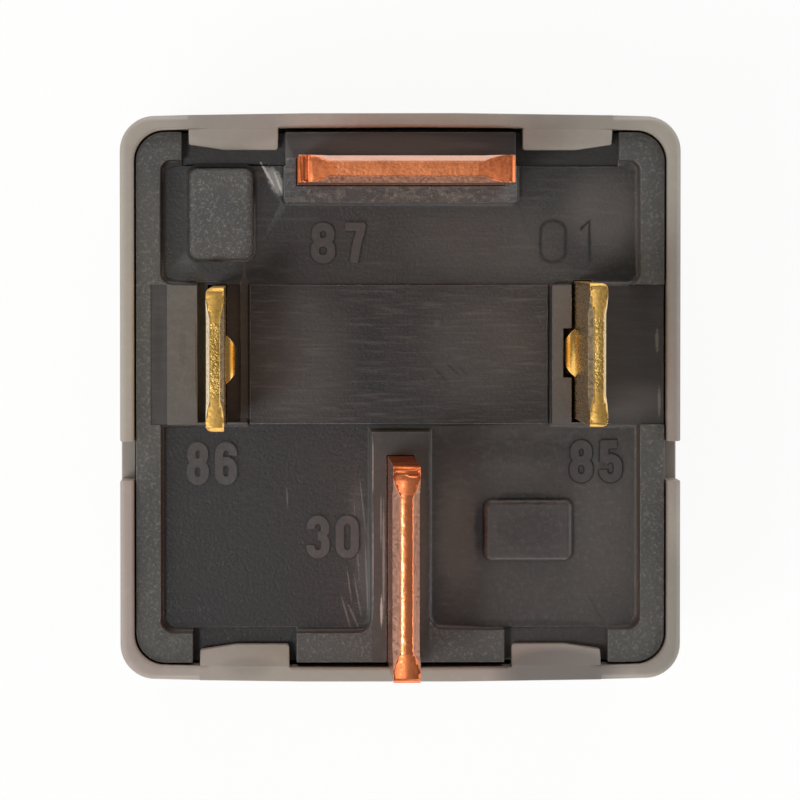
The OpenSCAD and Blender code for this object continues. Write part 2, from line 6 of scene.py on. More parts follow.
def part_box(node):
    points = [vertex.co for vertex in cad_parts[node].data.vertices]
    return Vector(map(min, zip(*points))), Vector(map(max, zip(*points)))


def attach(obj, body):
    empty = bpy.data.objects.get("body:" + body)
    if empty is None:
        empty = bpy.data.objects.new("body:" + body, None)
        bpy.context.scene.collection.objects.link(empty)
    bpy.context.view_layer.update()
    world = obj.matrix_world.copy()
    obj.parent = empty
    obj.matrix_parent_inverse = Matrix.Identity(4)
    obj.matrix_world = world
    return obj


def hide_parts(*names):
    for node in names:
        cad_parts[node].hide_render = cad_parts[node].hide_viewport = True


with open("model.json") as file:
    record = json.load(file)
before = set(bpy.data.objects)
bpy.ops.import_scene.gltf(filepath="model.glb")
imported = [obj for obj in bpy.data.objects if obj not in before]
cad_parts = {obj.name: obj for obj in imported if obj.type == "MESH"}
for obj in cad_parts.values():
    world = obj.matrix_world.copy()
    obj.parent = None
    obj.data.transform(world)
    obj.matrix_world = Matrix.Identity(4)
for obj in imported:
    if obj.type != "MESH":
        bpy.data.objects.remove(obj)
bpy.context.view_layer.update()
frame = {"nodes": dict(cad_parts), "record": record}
print("frame loaded,", len(frame["nodes"]), "nodes")

mm = 0.001
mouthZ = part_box("cover")[1].z
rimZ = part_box("base")[1].z
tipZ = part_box("terminal_87")[1].z


def linearColour(hexColour):  # "#rrggbb" in sRGB to linear RGBA
    channels = [int(hexColour[i:i + 2], 16) / 255 for i in (1, 3, 5)]
    return [c / 12.92 if c <= 0.04045 else ((c + 0.055) / 1.055) ** 2.4 for c in channels] + [1.0]


def addNode(tree, kind, inputs=None, **settings):  # inputs takes values, outputs or whole nodes
    node = tree.nodes.new(kind)
    for name, value in settings.items():
        setattr(node, name, value)
    for key, value in (inputs or {}).items():
        if isinstance(value, bpy.types.Node):  # a node stands for its first output
            value = value.outputs[0]
        if isinstance(value, bpy.types.NodeSocket):
            tree.links.new(value, node.inputs[key])
        else:
            node.inputs[key].default_value = value
    return node


def perMm(size):  # noise scale, in 1/m, that makes features of this many millimetres
    return 1000.0 / size


def newMaterial(name, colour, roughness, metallic=0.0, ior=None):
    material = bpy.data.materials.new(name)
    material.use_nodes = True
    tree = material.node_tree
    shader = tree.nodes["Principled BSDF"]
    shader.inputs["Base Color"].default_value = linearColour(colour)
    shader.inputs["Roughness"].default_value = roughness
    shader.inputs["Metallic"].default_value = metallic
    if ior:
        shader.inputs["IOR"].default_value = ior
    place = addNode(tree, "ShaderNodeTexCoord").outputs["Object"]
    return material, tree, shader, place


def finished(tree, shader, colour, height, distance=1.0, sheen=None):  # links a material's last nodes
    bump = addNode(tree, "ShaderNodeBump", {
        "Height": height, "Strength": 1.0, "Distance": distance})
    tree.links.new(bump.outputs[0], shader.inputs["Normal"])
    tree.links.new(colour.outputs["Result"], shader.inputs["Base Color"])
    if sheen:
        pattern, least, most = sheen
        rough = addNode(tree, "ShaderNodeMapRange", {
            0: pattern, 1: 0.3, 2: 0.7, 3: least, 4: most})
        tree.links.new(rough.outputs[0], shader.inputs["Roughness"])


def addObject(name, mesh, body=None, replaced=None):
    piece = bpy.data.objects.new(name, mesh)
    bpy.context.scene.collection.objects.link(piece)
    if body:
        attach(piece, body)
    if replaced:
        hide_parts(replaced)
    return piece


def flattened(piece):  # the piece's modifiers made part of its mesh
    evaluated = piece.evaluated_get(bpy.context.evaluated_depsgraph_get())
    mesh = bpy.data.meshes.new_from_object(evaluated)
    mesh.name = piece.name
    piece.modifiers.clear()
    piece.data = mesh


# camera, over the blades and a little to the left and above the middle

camera = {"height": 0.240, "offset": (-0.0061, 0.0070), "aim": (-0.000034, -0.0001),
          "lens": 236.0, "sensor": 36.0, "clip": 0.01}
eye = Vector((*camera["offset"], mouthZ + camera["height"]))
target = Vector((*camera["aim"], mouthZ))
cameraData = bpy.data.cameras.new("camera")
cameraData.lens = camera["lens"]
cameraData.sensor_width = camera["sensor"]
cameraData.clip_start = camera["clip"]
cameraObject = addObject("camera", cameraData)
back = (eye - target).normalized()
right = Vector((0, 1, 0)).cross(back).normalized()
up = back.cross(right)
cameraObject.matrix_world = Matrix((
    (right.x, up.x, back.x, eye.x),
    (right.y, up.y, back.y, eye.y),
    (right.z, up.z, back.z, eye.z),
    (0, 0, 0, 1)))
bpy.context.scene.camera = cameraObject

# light: a pale room, four low panels round the object like a light tent, a key from the lower
# left and one small lamp nearly overhead that makes the hot streaks on the blades' tips

light = {"room": 0.28, "areas": {  # place, size and power in metres and watts
    "key": ((-0.26, -0.17, 0.32), (0.30, 0.30), 0.5),
    "lamp": ((-0.11, -0.06, 0.42), (0.05, 0.05), 0.24),
    "panel.left": ((-0.32, 0, 0.12), (0.34, 0.16), 0.42),
    "panel.right": ((0.32, 0, 0.12), (0.34, 0.16), 0.45),
    "panel.back": ((0, 0.32, 0.12), (0.34, 0.16), 0.68),
    "panel.front": ((0, -0.32, 0.12), (0.34, 0.16), 0.56)}}
for name, (position, size, power) in light["areas"].items():
    lampData = bpy.data.lights.new(name, "AREA")
    lampData.shape = "RECTANGLE"
    lampData.size, lampData.size_y = size
    lampData.energy = power
    lamp = addObject(name, lampData)
    lamp.location = position
    aim = Vector((0, 0, mouthZ)) - Vector(position)
    lamp.rotation_euler = aim.to_track_quat("-Z", "Y").to_euler()
world = bpy.data.worlds.new("world")
bpy.context.scene.world = world
world.use_nodes = True
background = world.node_tree.nodes["Background"]
background.inputs["Color"].default_value = (1, 1, 1, 1)
background.inputs["Strength"].default_value = light["room"]
bpy.context.scene.view_settings.view_transform = "Standard"

# floor: white paper, seen white by camera and reflections, still shaded by the object

paper = {"half": 0.6, "colour": "#f4f3f1", "roughness": 0.9, "glow": 0.9}
floorMesh = bpy.data.meshes.new("floor")
floorMesh.from_pydata([(x * paper["half"], y * paper["half"], 0)
                       for x, y in ((-1, -1), (1, -1), (1, 1), (-1, 1))], [], [(0, 1, 2, 3)])
whitePaper, tree, shader, place = newMaterial("whitePaper", paper["colour"], paper["roughness"])
glow = addNode(tree, "ShaderNodeEmission", {"Strength": 1.0})
path = addNode(tree, "ShaderNodeLightPath")
seen = addNode(tree, "ShaderNodeMath", {
    0: path.outputs["Is Camera Ray"], 1: path.outputs["Is Glossy Ray"]}, operation="MAXIMUM")
seen = addNode(tree, "ShaderNodeMath", {
    0: seen, 1: path.outputs["Is Transmission Ray"]}, operation="MAXIMUM")
share = addNode(tree, "ShaderNodeMath", {0: seen, 1: paper["glow"]}, operation="MULTIPLY")
mix = addNode(tree, "ShaderNodeMixShader", {0: share, 1: shader, 2: glow})
tree.links.new(mix.outputs[0], tree.nodes["Material Output"].inputs["Surface"])
floorMesh.materials.append(whitePaper)
floor = addObject("floor", floorMesh)
print("camera, light and floor made")


# glass-filled polyester, moulded: near black, dull where the mould was spark-eroded and
# glossier with fine drag lines where it was milled, so the faces differ in sheen

# the pale grey below is the colour of painted glints on the grain and painted sheen along the drag lines
polyester = {"ior": 1.55, "cloudSize": 2.6, "glint": "#8b8883", "ragged": 0.9, "patchEdge": 1.1}


def mouldedPolyester(name, look, patches):
    material, tree, shader, place = newMaterial(name, look["colour"], look["roughness"], ior=polyester["ior"])
    # drag lines: noise stretched along the milling direction
    turned = addNode(tree, "ShaderNodeMapping", {
        "Vector": place, "Rotation": (0, 0, math.radians(look["dragAngle"])),
        "Scale": (1 / look["dragLength"], 1, 1)})
    drag = addNode(tree, "ShaderNodeTexNoise", {
        "Vector": turned, "Scale": perMm(look["dragPitch"]), "Detail": 4.0, "Roughness": 0.6})
    # erosion grain: pits of 0.12 to 0.3 mm, drawn coarser than the real 0.03 mm to show
    grain = addNode(tree, "ShaderNodeTexNoise", {
        "Vector": place, "Scale": perMm(look["grain"]), "Detail": 3.0, "Roughness": 0.65})
    cloud = addNode(tree, "ShaderNodeTexNoise", {
        "Vector": place, "Scale": perMm(polyester["cloudSize"]), "Detail": 3.0})
    # colour: brown-black with a second tone in clouds, patches of painted light and shade, and painted glints
    # where grain or drag lines stand up
    tone = addNode(tree, "ShaderNodeMapRange", {0: cloud, 1: 0.35, 2: 0.65})
    shown = addNode(tree, "ShaderNodeMix", {
        "Factor": tone, "A": linearColour(look["colour"]), "B": linearColour(look["cloud"])},
        data_type="RGBA")
    # each patch, painted light, painted shade and marks alike, mixes its colour in through a ragged round
    # mask
    for x, y, halfX, halfY, turn, colour, amount, soft in patches:
        local = addNode(tree, "ShaderNodeMapping", {
            "Vector": place, "Location": (x * mm, y * mm, 0), "Rotation": (0, 0, math.radians(turn)),
            "Scale": (halfX * mm, halfY * mm, 1)}, vector_type="TEXTURE")
        away = addNode(tree, "ShaderNodeVectorMath", {0: local}, operation="LENGTH")
        broken = drag if soft > 0.5 else grain
        ragged = addNode(tree, "ShaderNodeMath", {
            0: broken, 1: polyester["ragged"], 2: away.outputs["Value"]}, operation="MULTIPLY_ADD")
        mask = addNode(tree, "ShaderNodeMapRange", {
            0: ragged, 1: polyester["patchEdge"] + soft / 2, 2: polyester["patchEdge"] - soft / 2,
            3: 0.0, 4: amount}, interpolation_type="SMOOTHSTEP")
        shown = addNode(tree, "ShaderNodeMix", {
            "Factor": mask, "A": shown.outputs["Result"], "B": linearColour(colour)},
            data_type="RGBA")
    # painted glints on the grain's peaks and painted sheen along the drag lines
    lifted = addNode(tree, "ShaderNodeMapRange", {
        0: grain, 1: 0.52, 2: 0.78, 3: 0.0, 4: look["sparkle"]})
    lines = addNode(tree, "ShaderNodeMapRange", {
        0: drag, 1: 0.5, 2: 0.75, 3: 0.0, 4: look["dragTone"]})
    lightness = addNode(tree, "ShaderNodeMath", {
        0: lifted, 1: lines}, operation="MAXIMUM")
    shown = addNode(tree, "ShaderNodeMix", {
        "Factor": lightness, "A": shown.outputs["Result"], "B": linearColour(polyester["glint"])},
        data_type="RGBA")
    ruts = addNode(tree, "ShaderNodeMath", {
        0: drag, 1: look["dragDepth"] * mm}, operation="MULTIPLY")
    height = addNode(tree, "ShaderNodeMath", {
        0: grain, 1: look["grainDepth"] * mm, 2: ruts}, operation="MULTIPLY_ADD")
    finished(tree, shader, shown, height, sheen=(drag, look["roughness"] - 0.06, look["roughness"] + 0.1))
    return material


# one finish for each kind of face on the header; lengths in mm
eroded = {"colour": "#403f3d", "cloud": "#484642", "roughness": 0.55, "grain": 0.15,
          "grainDepth": 0.045, "sparkle": 0.5, "dragAngle": 0, "dragLength": 3, "dragPitch": 0.4,
          "dragTone": 0.0, "dragDepth": 0.004}
milled = {"colour": "#211b1c", "cloud": "#252521", "roughness": 0.42, "grain": 0.16,
          "grainDepth": 0.014, "sparkle": 0.1, "dragAngle": 3, "dragLength": 10, "dragPitch": 0.2,
          "dragTone": 0.12, "dragDepth": 0.006}
satin = {**eroded, "grain": 0.3, "sparkle": 0.1}
finishes = {
    "rim": ("erodedPolyester", eroded),
    "pad": ("erodedPolyesterPad", {
        **eroded, "colour": "#3f3f40", "grain": 0.12, "grainDepth": 0.06, "sparkle": 0.8}),
    "upper": ("milledPolyesterUpper", {**milled, "colour": "#282323", "cloud": "#2b2a28"}),
    "middle": ("milledPolyesterMiddle", {
        **milled, "colour": "#1d1718", "cloud": "#241c1b", "dragAngle": -2, "dragTone": 0.24,
        "dragDepth": 0.012}),
    "lowerLeft": ("milledPolyesterLowerLeft", {
        **milled, "colour": "#161112", "cloud": "#181615", "sparkle": 0.05, "dragAngle": 35,
        "dragLength": 4, "dragTone": 0.06}),
    # the right lower pocket is the milled finish drawn lighter: painted light where blade 30 shades the floor
    "lowerRight": ("paintedLightPolyesterLowerRight", {
        **milled, "colour": "#3d3837", "cloud": "#413d3a", "grain": 0.25, "sparkle": 0.16, "dragAngle": 20,
        "dragLength": 3, "dragTone": 0.08}),
    "strip": ("satinPolyesterStrip", {
        **satin, "colour": "#4f4a47", "cloud": "#54504c", "grainDepth": 0.02, "sparkle": 0.15,
        "dragAngle": 90, "dragTone": 0.15}),
    "rib": ("satinPolyesterRib", {
        **satin, "colour": "#37322f", "cloud": "#3d3835", "grainDepth": 0.015, "dragAngle": 90,
        "dragTone": 0.1}),
    "rough": ("tornPolyester", {
        **eroded, "colour": "#393e42", "grain": 0.2, "grainDepth": 0.08, "sparkle": 0.8, "dragAngle": 90,
        "dragLength": 5, "dragPitch": 0.2, "dragTone": 0.5, "dragDepth": 0.025}),
    "polished": ("polishedPolyester", {
        **milled, "colour": "#302c2b", "cloud": "#34302e", "roughness": 0.32, "sparkle": 0.0,
        "dragTone": 0.03, "grainDepth": 0.004, "dragDepth": 0.002}),
    # walls and deep floors of the slots, drawn lighter than the floors around them: painted light in their
    # shade
    "well": ("paintedLightPolyesterWell", {**satin, "colour": "#3a322e", "cloud": "#433a34", "grainDepth": 0.012}),
    # the rounded edges, drawn lighter with glints: a painted highlight
    "edge": ("edgeHighlightPolyester", {
        **eroded, "colour": "#56514e", "cloud": "#3b3734", "roughness": 0.38, "grain": 0.25, "sparkle": 0.6,
        "grainDepth": 0.015}),
    # near black: the thin figures of the mould's own number, and a painted shadow line round the raised
    # numbers
    "fine": ("figureAndShadowLinePolyester", {
        **milled, "colour": "#121010", "cloud": "#171413", "sparkle": 0.0, "dragTone": 0.0}),
    "figure": ("raisedPolyester", {
        **eroded, "colour": "#3d3837", "cloud": "#433e3c", "roughness": 0.4, "grain": 0.25, "sparkle": 0.1,
        "grainDepth": 0.01}),
}

# patches of painted light and painted shade, with scratches, chips, burrs and darker tones, as x, y, half
# width, half height, turn, colour, amount, soft in mm and degrees; a soft one fades out along the drag lines
# and a sharp one breaks up with the grain
# the first colour is painted light, the second painted shade and dark marks and tones, the others a chip,
# burrs, and scratches with a painted highlight
paintedLight, shadeAndMarks, chip, burr, scratchAndHighlight = "#5d5753", "#0f0d0d", "#a8a4a0", "#dcd8d4", "#b5ada7"
patches = {
    # upper: painted light in pools and a thin line, a darker patch, painted shade along the pocket's lower
    # wall, a chip and burrs
    "upper": [
        (4.0, 7.2, 4.5, 2.4, 0, paintedLight, 0.25, 0.7), (9.4, 8.6, 2.6, 2.6, 0, paintedLight, 0.6, 0.7),
        (-5.6, 7.4, 1.2, 2.2, 0, shadeAndMarks, 0.35, 0.7), (-8.2, 5.8, 3.5, 0.6, 0, shadeAndMarks, 0.5, 0.7),
        (10.4, 5.7, 1.6, 0.6, 0, shadeAndMarks, 0.4, 0.7), (-7.4, 10.2, 2.0, 0.22, 0, paintedLight, 0.5, 0.6),
        (-5.75, 9.95, 0.45, 1.0, 26, chip, 0.8, 0.4), (-6.1, 10.25, 0.1, 0.9, 30, burr, 0.8, 0.25),
        (-5.6, 9.85, 0.08, 0.75, 20, burr, 0.7, 0.25)],
    # middle: painted light on both sides, a band of painted shadow left of blade 30's line, thin dark
    # scratches, a small pale mark
    "middle": [
        (-4.6, 2, 3.0, 4.2, 0, paintedLight, 0.34, 0.7), (3.6, 2.2, 3.4, 3.6, 0, paintedLight, 0.32, 0.7),
        (-1.3, 2, 0.8, 4, 0, shadeAndMarks, 0.75, 0.7), (1.9, 1.0, 0.07, 0.8, 40, shadeAndMarks, 0.9, 0.3),
        (1.5, 1.4, 0.05, 0.7, 38, shadeAndMarks, 0.8, 0.3), (2.4, 1.3, 0.06, 0.7, 48, shadeAndMarks, 0.8, 0.3),
        (2.9, 1.2, 0.05, 0.5, 52, shadeAndMarks, 0.7, 0.3), (1.7, 3.4, 0.2, 0.25, 0, "#8b8883", 0.1, 0.3)],
    # lowerLeft: a painted reflection of blade 30 beside it, darker patches in the pocket's left part, and
    # scratches
    "lowerLeft": [
        (-1.7, -7.5, 0.7, 4.5, 6, paintedLight, 0.42, 0.7), (-8, -9.5, 3, 1.3, 0, shadeAndMarks, 0.4, 0.7),
        (-8.6, -6.6, 1.6, 2.6, 0, shadeAndMarks, 0.3, 0.7), (-2.0, -6.6, 0.05, 2.6, 4, scratchAndHighlight, 0.2, 0.5),
        (-1.72, -5.0, 0.05, 1.8, 6, scratchAndHighlight, 0.2, 0.5), (-1.55, -8.2, 0.06, 2.2, 2, scratchAndHighlight, 0.25, 0.5),
        (-2.5, -9.9, 0.07, 1.1, 16, scratchAndHighlight, 0.22, 0.5), (-2.15, -10.1, 0.08, 0.9, 24, scratchAndHighlight, 0.22, 0.5),
        (-1.95, -9.2, 0.06, 1.3, 10, scratchAndHighlight, 0.2, 0.5), (-2.35, -8.6, 0.05, 1.2, 8, scratchAndHighlight, 0.2, 0.5),
        (-5.2, -4.6, 0.05, 0.7, 2, scratchAndHighlight, 0.15, 0.4)],
    # lowerRight: painted light beside blade 30 and at the right, painted shade on and round pad 2 and along
    # the walls
    "lowerRight": [
        (9.6, -6, 2.4, 5, 0, paintedLight, 0.3, 0.7), (2.6, -6.5, 1.4, 4.2, 0, paintedLight, 0.9, 0.7),
        (5.9, -6.1, 2.0, 1.4, 0, shadeAndMarks, 0.3, 0.5), (6, -2.4, 3.6, 0.9, 0, shadeAndMarks, 0.5, 0.7),
        (6, -10.5, 5, 0.3, 0, shadeAndMarks, 0.5, 0.7), (3.7, -6.1, 0.4, 1.7, 0, shadeAndMarks, 0.85, 0.6),
        (5.8, -4.65, 2.3, 0.35, 0, shadeAndMarks, 0.9, 0.6)],
    # strip: a faint darker place, the darker tone of the groove, and a thin painted shadow in the gap by
    # blade 86's slot
    "strip": [
        (-10.0, 2.3, 0.25, 1.3, 0, shadeAndMarks, 0.15, 0.5), (-11.1, 2.2, 0.32, 3.2, 0, shadeAndMarks, 0.45, 0.6),
        (-9.35, 1.6, 0.07, 2.6, 0, shadeAndMarks, 0.8, 0.4)],
    # rib: painted light on its shaded right side, scratches, and a painted highlight along its left edge
    "rib": [
        (0.95, -6.8, 0.4, 5.2, 0, paintedLight, 0.5, 0.6), (-0.78, -7.4, 0.08, 3.7, 0, scratchAndHighlight, 0.35, 0.5),
        (-0.9, -5.6, 0.06, 1.6, 0, scratchAndHighlight, 0.3, 0.5), (-0.88, -9.8, 0.08, 1.0, 0, scratchAndHighlight, 0.8, 0.4),
        (-1.28, -3.2, 0.05, 1.8, 0, scratchAndHighlight, 0.7, 0.4), (-1.26, -7.5, 0.03, 3.4, 0, scratchAndHighlight, 0.5, 0.4)],
    # polished: painted light beside blade 85 and beyond blade 87, the darker tone of the groove, and
    # scratches
    "polished": [
        (10.6, -0.2, 2.4, 1.3, 0, paintedLight, 0.35, 0.7), (0, 11.6, 6, 0.7, 0, paintedLight, 0.5, 0.6),
        (-11.1, 2.2, 0.32, 3.2, 0, shadeAndMarks, 0.5, 0.6), (11.8, 2.6, 0.12, 0.8, 0, scratchAndHighlight, 0.2, 0.4),
        (11.9, -0.2, 0.1, 1.0, 0, scratchAndHighlight, 0.2, 0.4)],
}
finishOrder = list(finishes)
polyesters = [mouldedPolyester(*finishes[key], patches.get(key, ())) for key in finishOrder]
print("polyester finishes made")

# glass-filled nylon, moulded: warm grey with flow streaks along the walls and a fine sheen, and painted shade
# at places on the mouth

nylon = {"colour": "#979085", "cloud": "#998c84", "roughness": 0.48, "ior": 1.53, "cloudSize": 9.0,
         "flow": "#b5aa9e", "flowWidth": 0.5, "flowSquash": 0.12, "skin": 0.22, "skinDepth": 0.008,
         "shade": "#5f5a57", "squat": 4, "shades": [  # painted shade at places on the mouth: x, y, reach, amount
             (7.2, -12.0, 3.6, 0.8), (-7.0, -11.6, 1.7, 0.3), (8.0, 12.2, 3.6, 0.25),
             (-7.6, 12.2, 3.2, 0.3), (12.4, -10, 4, 0.3), (12.8, 2, 8, 0.34)]}
coverNylon, tree, shader, place = newMaterial(
    "mouldedNylon", nylon["colour"], nylon["roughness"], ior=nylon["ior"])
cloud = addNode(tree, "ShaderNodeTexNoise", {
    "Vector": place, "Scale": perMm(nylon["cloudSize"]), "Detail": 2.0})
tone = addNode(tree, "ShaderNodeMapRange", {0: cloud, 1: 0.4, 2: 0.6})
ground = addNode(tree, "ShaderNodeMix", {
    "Factor": tone, "A": linearColour(nylon["colour"]), "B": linearColour(nylon["cloud"])},
    data_type="RGBA")
streaks = addNode(tree, "ShaderNodeMapping", {"Vector": place, "Scale": (1.0, 1.0, nylon["flowSquash"])})
flow = addNode(tree, "ShaderNodeTexNoise", {
    "Vector": streaks, "Scale": perMm(nylon["flowWidth"]), "Detail": 4.0})
lighter = addNode(tree, "ShaderNodeMapRange", {0: flow, 1: 0.5, 2: 0.8, 3: 0.0, 4: 0.2})
shown = addNode(tree, "ShaderNodeMix", {
    "Factor": lighter, "A": ground.outputs["Result"], "B": linearColour(nylon["flow"])},
    data_type="RGBA")
squat = addNode(tree, "ShaderNodeVectorMath", {0: place, 1: (1, 1, nylon["squat"])}, operation="MULTIPLY")
for x, y, reach, amount in nylon["shades"]:  # painted shade, measured squat, so the walls stay clear
    spot = addNode(tree, "ShaderNodeVectorMath", {
        0: squat, 1: (x * mm, y * mm, mouthZ * nylon["squat"])}, operation="DISTANCE")
    share = addNode(tree, "ShaderNodeMapRange", {
        0: spot.outputs["Value"], 1: reach * mm, 2: 0.5 * reach * mm, 3: 0.0, 4: amount},
        interpolation_type="SMOOTHSTEP")
    shown = addNode(tree, "ShaderNodeMix", {
        "Factor": share, "A": shown.outputs["Result"], "B": linearColour(nylon["shade"])},
        data_type="RGBA")
skin = addNode(tree, "ShaderNodeTexNoise", {"Vector": place, "Scale": perMm(nylon["skin"]), "Detail": 2.0})
finished(tree, shader, shown, skin, nylon["skinDepth"] * mm)


# bare copper and brass strip: rolled faces are smooth with streaks along the strip, sheared
# faces are torn into bright grains, smeared and burnished ones are rubbed smooth, coined
# bevels are pressed smooth and drawn pale as a painted reflection, and layered ends show dark lines between
# thin sheets

def bareStrip(name, look):
    material, tree, shader, place = newMaterial(name, look["colour"], look["roughness"], metallic=1.0)
    streaks = addNode(tree, "ShaderNodeMapping", {"Vector": place, "Scale": look["stretch"]})
    rolled = addNode(tree, "ShaderNodeTexNoise", {
        "Vector": streaks, "Scale": perMm(look["streak"]), "Detail": 3.0})
    tarnish = addNode(tree, "ShaderNodeTexNoise", {"Vector": place, "Scale": perMm(1.1), "Detail": 4.0})
    torn = addNode(tree, "ShaderNodeTexNoise", {
        "Vector": place, "Scale": perMm(look["grain"]), "Detail": 2.0, "Roughness": 0.6})
    dull = addNode(tree, "ShaderNodeMapRange", {
        0: tarnish, 1: 0.42, 2: 0.7, 3: 0.0, 4: look["tarnish"]})
    shown = addNode(tree, "ShaderNodeMix", {
        "Factor": dull, "A": linearColour(look["colour"]), "B": linearColour(look["dull"])},
        data_type="RGBA")
    # near-white specks on the metal: painted glints
    glints = addNode(tree, "ShaderNodeTexNoise", {"Vector": place, "Scale": perMm(0.22), "Detail": 1.0})
    bright = addNode(tree, "ShaderNodeMapRange", {
        0: glints, 1: 0.6, 2: 0.72, 3: 0.0, 4: look["glints"]})
    shown = addNode(tree, "ShaderNodeMix", {
        "Factor": bright, "A": shown.outputs["Result"], "B": linearColour("#fff3dc")},
        data_type="RGBA")
    grains = addNode(tree, "ShaderNodeMath", {
        0: torn, 1: look["grainDepth"] * mm}, operation="MULTIPLY")
    height = addNode(tree, "ShaderNodeMath", {
        0: rolled, 1: look["streakDepth"] * mm, 2: grains}, operation="MULTIPLY_ADD")
    finished(tree, shader, shown, height, sheen=(rolled, look["roughness"] * 0.75, look["roughness"] * 1.3))
    return material


strip = {"roughness": 0.22, "stretch": (1, 1, 0.1), "glints": 0.0, "streak": 0.12, "streakDepth": 0.004,
         "grain": 0.15, "grainDepth": 0.008}  # lengths in mm
copper = {**strip, "colour": "#f0a07c", "dull": "#b8745c", "tarnish": 0.35}
brass = {**strip, "colour": "#efcb83", "dull": "#b98d4a", "tarnish": 0.2}
sheared = {"stretch": (1, 1, 1), "streakDepth": 0.0}
# coined faces get paler colours below: a painted reflection of the light on the bevels
coined = {"roughness": 0.5, "streakDepth": 0.006, "tarnish": 0.3, "grainDepth": 0.006}
stripFinishes = {
    "copper": {
        "rolled": bareStrip("rolledCopper", copper),
        "sheared": bareStrip("shearedCopper", {
            **copper, **sheared, "colour": "#e38b5c", "dull": "#b0653f", "roughness": 0.42, "grain": 0.2,
            "grainDepth": 0.016, "tarnish": 0.5}),
        "coined": bareStrip("coinedCopper", {**copper, **coined, "colour": "#e0a98f", "dull": "#b07865"}),
        "smeared": bareStrip("smearedCopper", {
            **copper, **sheared, "colour": "#db7e50", "dull": "#ae5a34", "roughness": 0.38, "grain": 0.4}),
        "burnished": bareStrip("burnishedCopper", {
            **copper, **sheared, "colour": "#e98a5b", "dull": "#c9683c", "roughness": 0.2, "grain": 0.6,
            "grainDepth": 0.012}),
        "layered": bareStrip("layeredCopper", {
            **copper, "colour": "#cf6c37", "dull": "#6a3219", "tarnish": 0.9, "roughness": 0.4,
            "stretch": (0.25, 0.25, 1), "streak": 0.3, "streakDepth": 0.15})},
    "brass": {
        "rolled": bareStrip("rolledBrass", {
            **brass, "roughness": 0.24, "glints": 0.5, "grainDepth": 0.014}),
        "sheared": bareStrip("shearedBrass", {
            **brass, **sheared, "colour": "#dbb468", "dull": "#8a6a30", "roughness": 0.36, "grain": 0.16,
            "grainDepth": 0.035, "tarnish": 0.7}),
        "coined": bareStrip("coinedBrass", {**brass, **coined, "roughness": 0.4, "colour": "#f6e2ba"}),
        "smeared": bareStrip("smearedBrass", {
            **brass, **sheared, "colour": "#cba25a", "dull": "#94702f", "roughness": 0.42, "grain": 0.3,
            "grainDepth": 0.014, "tarnish": 0.5}),
        "pressed": bareStrip("pressedBrass", {
            **brass, **sheared, "colour": "#c39c55", "dull": "#8a6a38", "roughness": 0.2, "grain": 0.3,
            "grainDepth": 0.004})},
}
print("cover and strip materials made")


# a copy of a CAD node's mesh: doubles merged and flat triangles joined into whole faces

def mergedCopy(node):
    bm = bmesh.new()
    bm.from_mesh(frame["nodes"][node].data)
    bmesh.ops.remove_doubles(bm, verts=bm.verts, dist=0.0005 * mm)
    bmesh.ops.dissolve_limit(bm, angle_limit=math.radians(0.5), verts=bm.verts, edges=bm.edges)
    bm.normal_update()
    return bm


def convexFaces(bm):  # faces with holes or bays are split, so each fills rightly
    bmesh.ops.connect_verts_concave(bm, faces=[face for face in bm.faces if len(face.verts) > 4])
    bm.normal_update()


def cutFaces(bm, faces, point, normal):  # cuts only these faces along a plane
    geometry = set(faces)
    for face in faces:
        geometry.update(face.edges)
        geometry.update(face.verts)
    bmesh.ops.bisect_plane(bm, geom=list(geometry), dist=1e-7, plane_co=point, plane_no=normal)


def faceReach(face, edge):  # how far the face reaches away from one of its edges
    start = edge.verts[0].co
    along = (edge.verts[1].co - start).normalized()
    return max(((v.co - start) - (v.co - start).dot(along) * along).length for v in face.verts)


def filletFoot(bm, width, floorZ):  # rounds the foot of the walls that stand on a floor of this height
    convexFaces(bm)
    feet = []
    for edge in bm.edges:
        if len(edge.link_faces) != 2 or edge.calc_face_angle_signed() > math.radians(-40):
            continue
        floors = [f for f in edge.link_faces
                  if f.normal.z > 0.95 and abs(f.calc_center_median().z - floorZ) < 1e-5]
        walls = [f for f in edge.link_faces if abs(f.normal.z) < 0.3]
        if floors and walls and max(v.co.z for v in walls[0].verts) > floorZ + 2.5 * width:
            feet.append(edge)
    bmesh.ops.bevel(bm, geom=feet, offset=width, offset_type="OFFSET", segments=3, profile=0.5,
                    affect="EDGES", clamp_overlap=False, loop_slide=False)


def roundEdges(bm, width, finish=-1):  # rounds outer edges; slivers and sharp corners are left out
    convexFaces(bm)
    chosen = set()
    for edge in bm.edges:
        if len(edge.link_faces) != 2 or edge.calc_face_angle_signed() < math.radians(40):
            continue
        if min(faceReach(face, edge) for face in edge.link_faces) > 2.5 * width:
            chosen.add(edge)
    for vert in bm.verts:
        here = sorted((e for e in vert.link_edges if e in chosen), key=lambda e: e.calc_length())
        ways = [(e.other_vert(vert).co - vert.co).normalized() for e in here]
        for i in range(len(here)):
            if any(ways[i].dot(ways[j]) > 0.82 for j in range(i + 1, len(here))):
                chosen.discard(here[i])
    bmesh.ops.bevel(bm, geom=list(chosen), offset=width, offset_type="OFFSET", segments=2, profile=0.5,
                    affect="EDGES", clamp_overlap=False, loop_slide=False, material=finish)
    convexFaces(bm)


def shaded(name, bm, materials, body, node, sharp=35):  # smooth but for the edges above this angle
    for edge in bm.edges:
        edge.smooth = len(edge.link_faces) == 2 and edge.calc_face_angle() < math.radians(sharp)
    for face in bm.faces:
        face.smooth = True
    mesh = bpy.data.meshes.new(name)
    bm.to_mesh(mesh)
    bm.free()
    for material in materials:
        mesh.materials.append(material)
    piece = addObject(name, mesh, body, node)
    weighted = piece.modifiers.new("weighted", "WEIGHTED_NORMAL")
    weighted.keep_sharp = True
    flattened(piece)
    return piece


